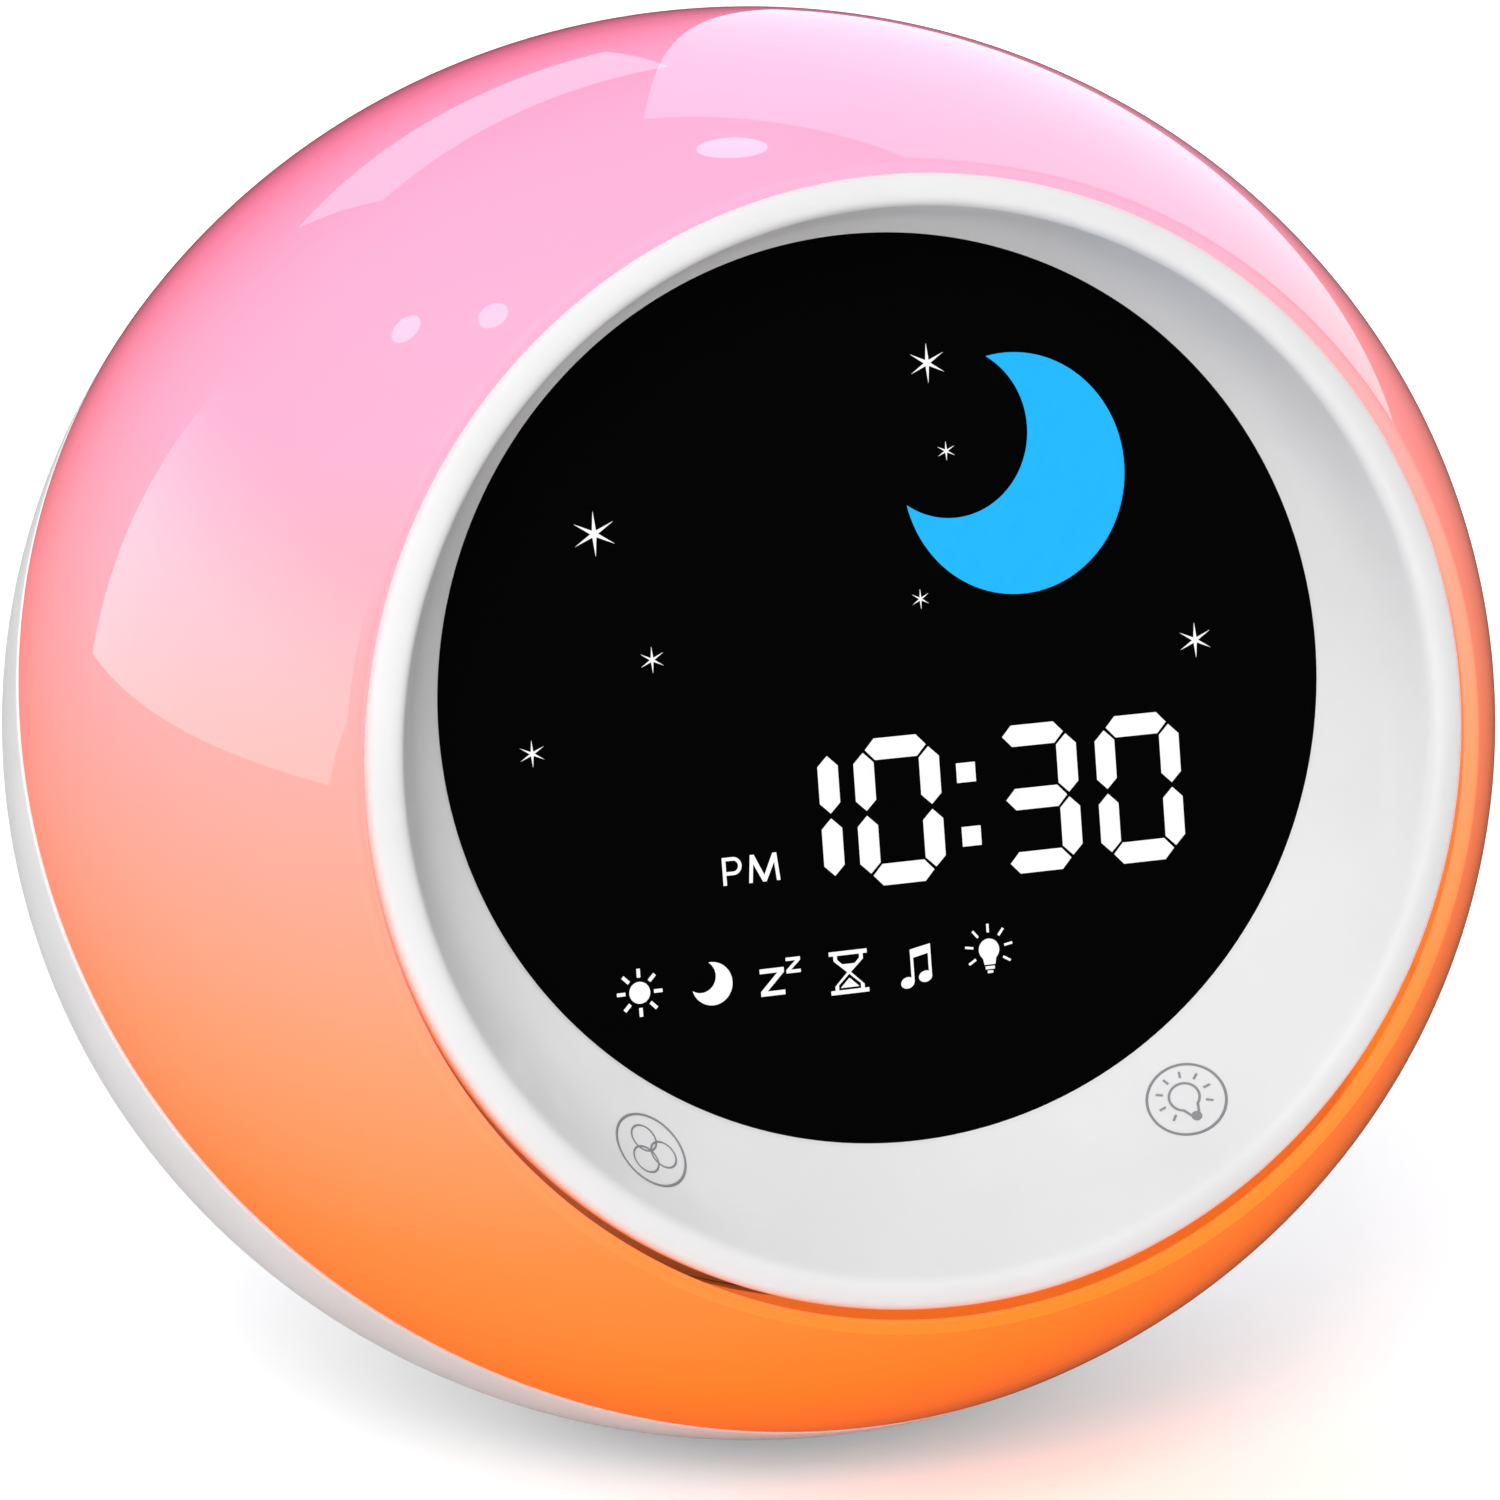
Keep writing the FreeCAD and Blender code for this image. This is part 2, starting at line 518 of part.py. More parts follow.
b = new_body("button_board_body")
s = sketch_on(b, "button_board_outline")
rect_sketch(s, 57, 9, 0, 0, 57, 9)
pad(b, s, 1.6, "button_board_pad")
on_rear(b, 0, "Params.back_y - Params.housing_wall - 7.6", "Params.button_up")
node("button_board", b)
tacts = []
for i in range(5):
    can = on_rear(box("tact_can%d" % i, 6, 6, 3.0), "Params.button_pitch * %d - 3" % (i - 2),
                  "Params.back_y - Params.housing_wall - 6.0", "Params.button_up + 3")
    nub = on_rear(cyl("tact_nub%d" % i, 1.5, 0.6), "Params.button_pitch * %d" % (i - 2),
                  "Params.back_y - Params.housing_wall - 3.001", "Params.button_up")
    tacts.append(fuse("tact%d" % i, [can, nub]))
node("tact_switches", group("tact_group", tacts))

# ================================================================ slide switch and power socket
body_sw = at(box("switch_can", 12.0, 5.0, 6.6), -38.0, "Params.back_y - Params.housing_wall - 5.0", 14.7)
sw_cav = at(box("switch_cavity", 9.4, 4.0, 3.2), -36.7, "Params.back_y - Params.housing_wall - 3.6", 16.4)
node("switch_body", cut("switch_body_cut", body_sw, sw_cav))
knob_base = at(box("knob_base", 4.4, 1.6, 2.6), -35.8, "Params.back_y - Params.housing_wall - 2.6", 16.7)
knob_stem = at(box("knob_stem", 3.6, "1.0 + Params.housing_wall + 1.2", 2.2), -35.4, "Params.back_y - Params.housing_wall - 1.0", 16.9)
node("switch_knob", fuse("switch_knob_fused", [knob_base, knob_stem]))

sock_out = at(box("socket_shell_box", 8.9, 8.0, 3.2), 28.0, "Params.back_y - 8.3", 17.4)
sock_in = at(box("socket_mouth", 8.3, 6.6, 2.6), 28.3, "Params.back_y - 6.8", 17.7)
node("power_socket", cut("power_socket_cut", sock_out, sock_in))
node("socket_tongue", at(box("tongue", 6.6, 5.4, 0.7), 29.15, "Params.back_y - 6.8", 18.65))

# ================================================================ base pad and screws
node("base_pad", at(cyl("base_pad_disc", "Params.base_pad_r", "Params.base_pad_tall"), 0, 0, "-Params.ball_z"))

screws = []
for i, (bx, bz_) in enumerate(BOSSES):
    head = on_rear(cyl("hs_head%d" % i, "Params.screw_head_r", 2.0), bx, 27.0, bz_)
    shank = on_rear(cyl("hs_shank%d" % i, "Params.screw_r", 15.0), bx, 12.001, bz_)
    cross = fuse("hs_cross%d" % i, [on_rear(box("hs_a%d" % i, 3.2, 0.7, 1.2), bx - 1.6, 28.0, bz_ + 0.35),
                                   on_rear(box("hs_b%d" % i, 0.7, 3.2, 1.2), bx - 0.35, 28.0, bz_ + 1.6)])
    screws.append(cut("hs%d" % i, fuse("hs_f%d" % i, [head, shank]), cross))
node("housing_screws", group("housing_screw_group", screws))
screws = []
for i, (x, v) in enumerate(BEZEL_BOSSES):
    head = on_face(cyl("fs_head%d" % i, "Params.screw_head_r", 1.8), x, v, -25.8)
    shank = on_face(cyl("fs_shank%d" % i, "Params.screw_r", 10.0), x, v, -24.001)
    screws.append(fuse("fs%d" % i, [head, shank]))
node("bezel_screws", group("bezel_screw_group", screws))


# ================================================================ leads that run inside
def lead(points, radius_of_wire, bend):
    """A round wire along straight runs joined by tangent arcs."""
    pts = [V(*p) for p in points]
    edges, last = [], pts[0]
    for i in range(1, len(pts) - 1):
        a, b_, c = pts[i - 1], pts[i], pts[i + 1]
        u, w = (a - b_).normalize(), (c - b_).normalize()
        half = u.getAngle(w) / 2.0
        back = bend / math.tan(half)
        p1, p2 = b_ + u * back, b_ + w * back
        mid_dir = (u + w).normalize()
        centre = b_ + mid_dir * (bend / math.sin(half))
        mid = centre - mid_dir * bend
        edges.append(Part.LineSegment(last, p1).toShape())
        edges.append(Part.Arc(p1, mid, p2).toShape())
        last = p2
    edges.append(Part.LineSegment(last, pts[-1]).toShape())
    path = Part.Wire(edges)
    d = (pts[1] - pts[0]).normalize()
    section = Part.Wire([Part.makeCircle(radius_of_wire, pts[0], d)])
    tube = path.makePipeShell([section], True, False)
    vol = math.pi * radius_of_wire ** 2 * path.Length
    print("lead: bend %.1f, length %.1f, volume share %.3f" % (bend, path.Length, tube.Volume / vol))
    return tube


bzc = val("ball_z")
leads = doc.addObject("Part::Feature", "speaker_lead_shape")
leads.Shape = lead([(2, 37.5, bzc + 27), (2, 26.0, bzc + 27), (2, 8.0, bzc + 12.5), (2, -14.6, bzc + 9.0)], 0.8, 9.0)
node("speaker_lead", leads)
leads = doc.addObject("Part::Feature", "battery_lead_shape")
leads.Shape = lead([(0, 30.0, bzc - 12), (0, 21.0, bzc - 12), (0, 4.0, bzc - 4.5), (0, -17.4, bzc - 3.0)], 0.8, 9.0)
node("battery_lead", leads)

# ---------------------------------------------------------------- checks, then one STEP per sub-part
doc.recompute()
bad = [o.Name + ":" + ",".join(o.State) for o in doc.Objects if "Invalid" in o.State or "Error" in o.State]
if bad:
    raise SystemExit("failed objects: %s" % bad)
os.makedirs("parts", exist_ok=True)
for old in os.listdir("parts"):
    if old.endswith(".step"):
        os.remove(os.path.join("parts", old))
for name, obj in NODES:
    shape = obj.Shape
    if shape.isNull() or not shape.isValid() or not shape.Solids:
        raise SystemExit("sub-part %s has no valid solid" % name)
    if any(s_.Volume <= 0 for s_ in shape.Solids):
        raise SystemExit("sub-part %s has an empty solid" % name)
    shape.exportStep("parts/%s.step" % name)
    bb_ = shape.BoundBox
    print("%-18s %2d solid %10.1f mm3  x %.1f..%.1f y %.1f..%.1f z %.1f..%.1f" % (
        name, len(shape.Solids), shape.Volume, bb_.XMin, bb_.XMax, bb_.YMin, bb_.YMax, bb_.ZMin, bb_.ZMax))
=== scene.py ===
import bpy, bmesh, math, json
from mathutils import Vector, Matrix


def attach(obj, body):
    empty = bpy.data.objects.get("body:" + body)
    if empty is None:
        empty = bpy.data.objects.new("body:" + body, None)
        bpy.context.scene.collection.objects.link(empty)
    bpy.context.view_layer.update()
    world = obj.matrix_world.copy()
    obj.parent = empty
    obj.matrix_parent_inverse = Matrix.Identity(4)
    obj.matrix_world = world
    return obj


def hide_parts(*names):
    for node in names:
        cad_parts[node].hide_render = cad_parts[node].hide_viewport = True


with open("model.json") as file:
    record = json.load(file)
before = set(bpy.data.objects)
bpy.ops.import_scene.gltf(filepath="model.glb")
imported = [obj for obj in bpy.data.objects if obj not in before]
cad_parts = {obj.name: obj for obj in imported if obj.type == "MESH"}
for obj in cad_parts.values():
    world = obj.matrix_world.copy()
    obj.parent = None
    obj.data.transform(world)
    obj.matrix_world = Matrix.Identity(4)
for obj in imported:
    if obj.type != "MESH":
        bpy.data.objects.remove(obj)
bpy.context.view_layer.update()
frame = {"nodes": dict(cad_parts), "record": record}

# ------------------------------------------------------------------ frame of the object
MM = 0.001
C = Vector((0, 0, 0.0628))                      # the ball's centre
RX, RZ = 67.9, 65.0                             # half width and half height of the ball, mm
TAU, SIG = math.radians(11.4), math.radians(30.5)
FD = 44.6                                       # ball centre to the bezel's front plane
X = Vector((1, 0, 0))
N = Vector((0, -math.cos(TAU), math.sin(TAU)))  # out of the display
V = Vector((0, math.sin(TAU), math.cos(TAU)))   # up the display
NS = Vector((0, -math.cos(SIG), math.sin(SIG))) # out of the seam plane, to the front
LENS_W = -9.85                                  # display surface below the bezel's front plane
BACK_Y, BASE = 50.0, 62.0
BODY = "clock"


def face(x, v, w):
    return C + (X * x + V * v + N * (FD + w)) * MM


def ball(q, inset=0.0):
    """A point of the unit sphere carried to the ball's surface, mm from its centre."""
    return Vector((q.x * (RX - inset), q.y * (RX - inset), q.z * (RZ - inset)))


# ------------------------------------------------------------------ small helpers
def new_obj(name, verts, faces, smooth=True, mats=()):
    me = bpy.data.meshes.new(name)
    me.from_pydata([tuple(v) for v in verts], [], faces)
    me.update()
    if smooth:
        me.polygons.foreach_set("use_smooth", [True] * len(me.polygons))
    ob = bpy.data.objects.new(name, me)
    bpy.context.scene.collection.objects.link(ob)
    for m in mats:
        me.materials.append(m)
    return ob


def fix_normals(ob):
    bm = bmesh.new(); bm.from_mesh(ob.data)
    bmesh.ops.remove_doubles(bm, verts=bm.verts, dist=1e-7)
    bmesh.ops.recalc_face_normals(bm, faces=bm.faces)
    bm.to_mesh(ob.data); bm.free()
    ob.data.update()
    return ob


def ring_mesh(name, rings, mats=(), close=False, cap0=False, cap1=False):
    """Quads between rings of equal count; close joins the last ring to the first."""
    n = len(rings[0])
    verts = [p for r in rings for p in r]
    faces = []
    k = len(rings)
    for i in range(k if close else k - 1):
        a, b = i * n, ((i + 1) % k) * n
        for j in range(n):
            j2 = (j + 1) % n
            faces.append((a + j, a + j2, b + j2, b + j))
    if cap0:
        faces.append(tuple(reversed(range(n))))
    if cap1:
        faces.append(tuple((k - 1) * n + j for j in range(n)))
    ob = new_obj(name, verts, faces, mats=mats)
    fix_normals(ob)
    ob.data.polygons.foreach_set("use_smooth", [True] * len(ob.data.polygons))
    return ob


def place(ob, body=BODY, replaces=()):
    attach(ob, body)
    if replaces:
        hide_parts(*replaces)
    return ob


def sharp_by_angle(ob, degrees=35):
    me = ob.data
    me.polygons.foreach_set("use_smooth", [True] * len(me.polygons))
    bm = bmesh.new(); bm.from_mesh(me)
    lim = math.radians(degrees)
    for e in bm.edges:
        if len(e.link_faces) == 2 and e.calc_face_angle(0) > lim:
            e.smooth = False
    bm.to_mesh(me); bm.free()
    return ob


# ------------------------------------------------------------------ materials
def srgb(r, g, b):
    f = lambda c: (c / 255) / 12.92 if c <= 10 else (((c / 255) + 0.055) / 1.055) ** 2.4
    return (f(r), f(g), f(b), 1.0)


def mat(name):
    m = bpy.data.materials.new(name)
    m.use_nodes = True
    nt = m.node_tree
    p = nt.nodes["Principled BSDF"]
    return m, nt, p


def link(nt, a, b):
    nt.links.new(a, b)


def noise_bump(nt, p, scale, strength, distance=0.0002, detail=3.0, coat=False):
    """Fine moulded grain, in object space."""
    tc = nt.nodes.new("ShaderNodeTexCoord")
    n = nt.nodes.new("ShaderNodeTexNoise")
    n.inputs["Scale"].default_value = scale
    n.inputs["Detail"].default_value = detail
    link(nt, tc.outputs["Object"], n.inputs["Vector"])
    b = nt.nodes.new("ShaderNodeBump")
    b.inputs["Strength"].default_value = strength
    b.inputs["Distance"].default_value = distance
    link(nt, n.outputs["Fac"], b.inputs["Height"])
    link(nt, b.outputs["Normal"], p.inputs["Normal"])
    if coat:
        link(nt, b.outputs["Normal"], p.inputs["Coat Normal"])
    return tc, n, b


def rough_vary(nt, p, tc, scale, low, high):
    n = nt.nodes.new("ShaderNodeTexNoise")
    n.inputs["Scale"].default_value = scale
    n.inputs["Detail"].default_value = 4.0
    link(nt, tc.outputs["Object"], n.inputs["Vector"])
    r = nt.nodes.new("ShaderNodeMapRange")
    r.inputs["To Min"].default_value = low
    r.inputs["To Max"].default_value = high
    link(nt, n.outputs["Fac"], r.inputs["Value"])
    link(nt, r.outputs["Result"], p.inputs["Roughness"])


def colour_vary(nt, p, tc, c1, c2, scale=60.0):
    n = nt.nodes.new("ShaderNodeTexNoise")
    n.inputs["Scale"].default_value = scale
    n.inputs["Detail"].default_value = 5.0
    link(nt, tc.outputs["Object"], n.inputs["Vector"])
    r = nt.nodes.new("ShaderNodeValToRGB")
    r.color_ramp.elements[0].position, r.color_ramp.elements[1].position = 0.35, 0.65
    r.color_ramp.elements[0].color, r.color_ramp.elements[1].color = c1, c2
    link(nt, n.outputs["Fac"], r.inputs["Fac"])
    link(nt, r.outputs["Color"], p.inputs["Base Color"])


def plastic(name, c1, c2, low, high, bump=0.05, scale=1800, coat=0.0, ior=1.49):
    m, nt, p = mat(name)
    tc, n, b = noise_bump(nt, p, scale, bump, 0.00004)
    rough_vary(nt, p, tc, 90, low, high)
    colour_vary(nt, p, tc, c1, c2)
    p.inputs["IOR"].default_value = ior
    if coat:
        p.inputs["Coat Weight"].default_value = coat
        p.inputs["Coat Roughness"].default_value = 0.04
    return m


def shell_material():
    """Lit translucent plastic: a glow that runs from pink at the top to orange at the bottom, under a gloss coat."""
    m, nt, p = mat("shell_lit_plastic")
    tc = nt.nodes.new("ShaderNodeTexCoord")
    sep = nt.nodes.new("ShaderNodeSeparateXYZ")
    link(nt, tc.outputs["Object"], sep.inputs["Vector"])
    # height, with the change of colour climbing towards the right and wandering a little
    wob = nt.nodes.new("ShaderNodeTexNoise")
    wob.inputs["Scale"].default_value = 9.0
    wob.inputs["Detail"].default_value = 2.0
    link(nt, tc.outputs["Object"], wob.inputs["Vector"])
    a = nt.nodes.new("ShaderNodeMath"); a.operation = "MULTIPLY_ADD"
    link(nt, sep.outputs["X"], a.inputs[0]); a.inputs[1].default_value = -0.20
    link(nt, sep.outputs["Z"], a.inputs[2])
    a2 = nt.nodes.new("ShaderNodeMath"); a2.operation = "MULTIPLY_ADD"
    link(nt, sep.outputs["Y"], a2.inputs[0]); a2.inputs[1].default_value = -0.05
    link(nt, a.outputs[0], a2.inputs[2])
    w = nt.nodes.new("ShaderNodeMath"); w.operation = "MULTIPLY_ADD"
    link(nt, wob.outputs["Fac"], w.inputs[0]); w.inputs[1].default_value = 0.014
    link(nt, a2.outputs[0], w.inputs[2])
    mr = nt.nodes.new("ShaderNodeMapRange")
    mr.inputs["From Min"].default_value = 0.0
    mr.inputs["From Max"].default_value = 0.145
    link(nt, w.outputs[0], mr.inputs["Value"])
    def ramp_of(stops):
        ramp = nt.nodes.new("ShaderNodeValToRGB")
        el = ramp.color_ramp.elements
        el[0].position, el[0].color = stops[0]
        el[1].position, el[1].color = stops[-1]
        for pos, c in stops[1:-1]:
            e = el.new(pos); e.color = c
        link(nt, mr.outputs["Result"], ramp.inputs["Fac"])
        return ramp

    light = ramp_of([(0.02, srgb(252, 124, 12)), (0.20, srgb(254, 142, 32)), (0.33, srgb(254, 150, 66)), (0.46, srgb(253, 165, 110)),
                     (0.58, srgb(252, 174, 148)), (0.68, srgb(251, 178, 174)), (0.80, srgb(248, 182, 204)), (1.0, srgb(244, 182, 220))])
    deep = ramp_of([(0.04, srgb(250, 102, 2)), (0.20, srgb(254, 120, 8)), (0.38, srgb(255, 132, 58)), (0.60, srgb(255, 136, 114)),
                    (0.78, srgb(248, 116, 144)), (1.0, srgb(244, 104, 158))])
    # painted falloff of the glow: deeper colour at the crown and the back, the parts of the shell farthest from the
    # ring of LEDs behind the bezel;
    # the same on the left and the right
    off = nt.nodes.new("ShaderNodeVectorMath"); off.operation = "SUBTRACT"
    link(nt, tc.outputs["Object"], off.inputs[0]); off.inputs[1].default_value = (0, 0, C.z)
    dot = nt.nodes.new("ShaderNodeVectorMath"); dot.operation = "DOT_PRODUCT"
    link(nt, off.outputs["Vector"], dot.inputs[0])
    dot.inputs[1].default_value = (0, -0.80 / 0.067, -0.35 / 0.067)
    fall = nt.nodes.new("ShaderNodeMapRange"); fall.interpolation_type = "SMOOTHSTEP"
    fall.inputs["From Min"].default_value = -0.75
    fall.inputs["From Max"].default_value = -0.05
    link(nt, dot.outputs["Value"], fall.inputs["Value"])
    both = nt.nodes.new("ShaderNodeMix"); both.data_type = "RGBA"
    link(nt, fall.outputs["Result"], both.inputs["Factor"])
    link(nt, deep.outputs["Color"], both.inputs["A"]); link(nt, light.outputs["Color"], both.inputs["B"])
    body = nt.nodes.new("ShaderNodeMix"); body.data_type = "RGBA"; body.blend_type = "MULTIPLY"
    body.inputs["Factor"].default_value = 1.0
    link(nt, both.outputs["Result"], body.inputs["A"]); body.inputs["B"].default_value = (0.34, 0.34, 0.34, 1)
    link(nt, body.outputs["Result"], p.inputs["Base Color"])
    link(nt, both.outputs["Result"], p.inputs["Emission Color"])
    p.inputs["Emission Strength"].default_value = 1.27
    p.inputs["Roughness"].default_value = 0.35
    p.inputs["Specular IOR Level"].default_value = 0.2
    p.inputs["Coat Weight"].default_value = 1.0
    p.inputs["Coat Roughness"].default_value = 0.02
    p.inputs["Coat IOR"].default_value = 1.5
    p.inputs["Coat Tint"].default_value = srgb(255, 216, 224)
    # very slight moulding waves so the reflections aren't perfect
    n = nt.nodes.new("ShaderNodeTexNoise"); n.inputs["Scale"].default_value = 22.0; n.inputs["Detail"].default_value = 1.0
    link(nt, tc.outputs["Object"], n.inputs["Vector"])
    b = nt.nodes.new("ShaderNodeBump"); b.inputs["Strength"].default_value = 0.06; b.inputs["Distance"].default_value = 0.001
    link(nt, n.outputs["Fac"], b.inputs["Height"])
    link(nt, b.outputs["Normal"], p.inputs["Coat Normal"])
    return m


def emissive(name, col, strength):
    m, nt, p = mat(name)
    tc = nt.nodes.new("ShaderNodeTexCoord")
    n = nt.nodes.new("ShaderNodeTexNoise"); n.inputs["Scale"].default_value = 700.0
    link(nt, tc.outputs["Object"], n.inputs["Vector"])
    mr = nt.nodes.new("ShaderNodeMapRange")
    mr.inputs["To Min"].default_value = strength * 0.94
    mr.inputs["To Max"].default_value = strength * 1.03
    link(nt, n.outputs["Fac"], mr.inputs["Value"])
    link(nt, mr.outputs["Result"], p.inputs["Emission Strength"])
    p.inputs["Base Color"].default_value = (0.02, 0.02, 0.02, 1)
    p.inputs["Emission Color"].default_value = col
    p.inputs["Roughness"].default_value = 0.6
    p.inputs["Specular IOR Level"].default_value = 0.1
    return m


M_SHELL = shell_material()
M_BEZEL = plastic("bezel_plastic", srgb(240, 240, 241), srgb(244, 244, 245), 0.30, 0.40, 0.03, 2200, coat=0.25)
M_HOUSE = plastic("housing_plastic", srgb(238, 238, 239), srgb(243, 243, 244), 0.30, 0.42, 0.05, 1500)
M_BUTTON = plastic("button_plastic", srgb(226, 227, 229), srgb(231, 232, 234), 0.28, 0.36, 0.04, 1800)
M_DOOR = plastic("door_plastic", srgb(234, 234, 235), srgb(240, 240, 241), 0.34, 0.46, 0.08, 1300)
M_RUBBER = plastic("pad_rubber", srgb(70, 70, 72), srgb(80, 80, 82), 0.7, 0.85, 0.3, 900)
M_INNER = plastic("inner_plastic", srgb(225, 225, 220), srgb(232, 232, 228), 0.45, 0.55, 0.05, 1200)
M_CHIP = plastic("chip_plastic", srgb(28, 28, 30), srgb(38, 38, 40), 0.4, 0.55, 0.1, 1500)
M_PRINT = plastic("grey_print", srgb(150, 150, 154), srgb(160, 160, 164), 0.45, 0.55, 0.02, 1500)
M_WHITE = emissive("lit_white", (1, 1, 1, 1), 1.0)
M_BLUE = emissive("lit_blue", srgb(0, 184, 255), 1.0)


def lens_material():
    m, nt, p = mat("smoked_panel")
    tc, n, b = noise_bump(nt, p, 40, 0.02, 0.0002, 1.0)
    rough_vary(nt, p, tc, 300, 0.035, 0.06)
    p.inputs["Base Color"].default_value = (0.0012, 0.0012, 0.0014, 1)
    p.inputs["Specular IOR Level"].default_value = 0.12
    return m


M_LENS = lens_material()


def metal(name, col, low, high, scale=(1, 1, 1)):
    m, nt, p = mat(name)
    tc = nt.nodes.new("ShaderNodeTexCoord")
    mp = nt.nodes.new("ShaderNodeMapping"); mp.inputs["Scale"].default_value = scale
    link(nt, tc.outputs["Object"], mp.inputs["Vector"])
    n = nt.nodes.new("ShaderNodeTexNoise"); n.inputs["Scale"].default_value = 800; n.inputs["Detail"].default_value = 4
    link(nt, mp.outputs["Vector"], n.inputs["Vector"])
    r = nt.nodes.new("ShaderNodeMapRange"); r.inputs["To Min"].default_value = low; r.inputs["To Max"].default_value = high
    link(nt, n.outputs["Fac"], r.inputs["Value"]); link(nt, r.outputs["Result"], p.inputs["Roughness"])
    b = nt.nodes.new("ShaderNodeBump"); b.inputs["Strength"].default_value = 0.08; b.inputs["Distance"].default_value = 0.00005
    link(nt, n.outputs["Fac"], b.inputs["Height"]); link(nt, b.outputs["Normal"], p.inputs["Normal"])
    p.inputs["Metallic"].default_value = 1.0
    p.inputs["Base Color"].default_value = col
    return m


M_STEEL = metal("bright_steel", (0.60, 0.60, 0.62, 1), 0.18, 0.34)
M_IRON = metal("plated_iron", (0.38, 0.38, 0.40, 1), 0.3, 0.45)
M_BOARD = plastic("board_mask", srgb(24, 96, 48), srgb(30, 110, 56), 0.3, 0.45, 0.1, 600)
M_LED = plastic("led_resin", srgb(238, 222, 150), srgb(246, 232, 170), 0.25, 0.35, 0.05, 900)
M_CELL = plastic("cell_jacket", srgb(52, 112, 78), srgb(58, 120, 84), 0.25, 0.35, 0.03, 700)
M_LEAD = plastic("lead_jacket", srgb(150, 24, 22), srgb(165, 30, 28), 0.4, 0.5, 0.05, 900)
M_CONE = plastic("cone_paper", srgb(22, 22, 23), srgb(32, 32, 33), 0.7, 0.85, 0.4, 1200)

by_slot = {"inner_white": M_INNER, "board_green": M_BOARD, "chip_black": M_CHIP, "led_warm": M_LED, "steel": M_STEEL,
           "magnet_iron": M_IRON, "cone_black": M_CONE, "cell_jacket": M_CELL, "lead_red": M_LEAD, "pad_rubber": M_RUBBER,
           "button_white": M_BUTTON, "housing_white": M_HOUSE, "bezel_white": M_BEZEL, "shell_tint": M_SHELL,
           "display_black": M_LENS}
slot_of = {s["node"]: s["material_slot"] for s in frame["record"]["subparts"]}
for node, ob in frame["nodes"].items():
    m = by_slot[slot_of[node]]
    if node == "battery_door":
        m = M_DOOR
    if not ob.material_slots:
        ob.data.materials.append(m)
    for s in ob.material_slots:
        s.material = m

# ------------------------------------------------------------------ surfaces on the ball
SEG = 288


def unit(v):
    return v.normalized()


def circle_on_ball(plane_n, dist, inset=0.0):
    """Unit-sphere circle of the ball's section by plane_n . p = dist (mm): centre, radius and two axes."""
    S = Vector((RX - inset, RX - inset, RZ - inset))
    m = Vector((plane_n.x * S.x, plane_n.y * S.y, plane_n.z * S.z))
    k = m.length
    n = m / k
    d = dist / k
    ax = X.copy()
    ay = n.cross(ax)
    if ay.z < 0:
        ay = -ay
    return n, d, math.sqrt(max(0.0, 1 - d * d)), ax, ay


def circ(plane_n, dist, inset, t):
    n, d, r, ax, ay = circle_on_ball(plane_n, dist, inset)
    return n * d + (ax * math.cos(t) + ay * math.sin(t)) * r


def slerp(a, b, t):
    w = a.angle(b)
    if w < 1e-6:
        return a.lerp(b, t)
    return (a * math.sin((1 - t) * w) + b * math.sin(t * w)) / math.sin(w)


def wall_between(n1, d1, n2, d2, wall, rows, lip1, lip2):
    """A closed wall on the ball between two plane sections, as rings: out over the surface, round one edge, back inside."""
    rings = []
    ts = [2 * math.pi * j / SEG for j in range(SEG)]
    outer_q = [[slerp(circ(n1, d1, 0, t), circ(n2, d2, 0, t), i / rows) for t in ts] for i in range(rows + 1)]

    def pt(q, inset):
        return C + ball(q, inset) * MM

    # outer surface, set in by the edge roundings
    for i, ring in enumerate(outer_q):
        rings.append([(q, 0.0) for q in ring])
    out = []
    # rounding at both ends is made by shifting the end rings inward along the surface and into the wall
    def edge(q_end, q_next, lip, steps, reverse):
        res = []
        for s in range(steps + 1):
            a = (math.pi / 2) * s / steps
            along, deep = lip * (1 - math.sin(a)), lip * (1 - math.cos(a))
            ring = []
            for q0, q1 in zip(q_end, q_next):
                p0, p1 = ball(q0), ball(q1)
                step = (p1 - p0).length
                q = slerp(q0, q1, min(0.98, along / step)) if step > 1e-9 else q0
                ring.append((q, deep))
            res.append(ring)
        return res if not reverse else list(reversed(res))

    e1 = edge(outer_q[0], outer_q[1], lip1, 6, True)       # from outside (deep 0) ... reversed below
    e2 = edge(outer_q[-1], outer_q[-2], lip2, 6, False)
    start = list(reversed(e1))       # s = 0 first: along = lip, deep = 0
    seq = []
    seq += [[(q, wall) for q in outer_q[0]]]
    seq += list(reversed(start))     # from the edge's inner end to the outer surface
    seq += [[(q, 0.0) for q in r] for r in outer_q[1:-1]]
    seq += e2
    seq += [[(q, wall) for q in outer_q[-1]]]
    inner_rows = max(6, rows // 4)
    for i in range(1, inner_rows):
        f = 1 - i / inner_rows
        seq.append([(slerp(circ(n1, d1, 0, t), circ(n2, d2, 0, t), f), wall) for t in ts])
    return [[pt(q, dp) for q, dp in ring] for ring in seq]


# the light shell
rings = wall_between(N, 44.4, NS, 0.15, 1.2, 56, 0.8, 0.5)
shell = ring_mesh("shell_skin", rings, [M_SHELL], close=True)
place(shell, replaces=["light_shell"])

# ------------------------------------------------------------------ bezel
def oval_ring(rx, rv, up, w):
    return [face(rx * math.cos(2 * math.pi * j / SEG), up + rv * math.sin(2 * math.pi * j / SEG), w) for j in range(SEG)]


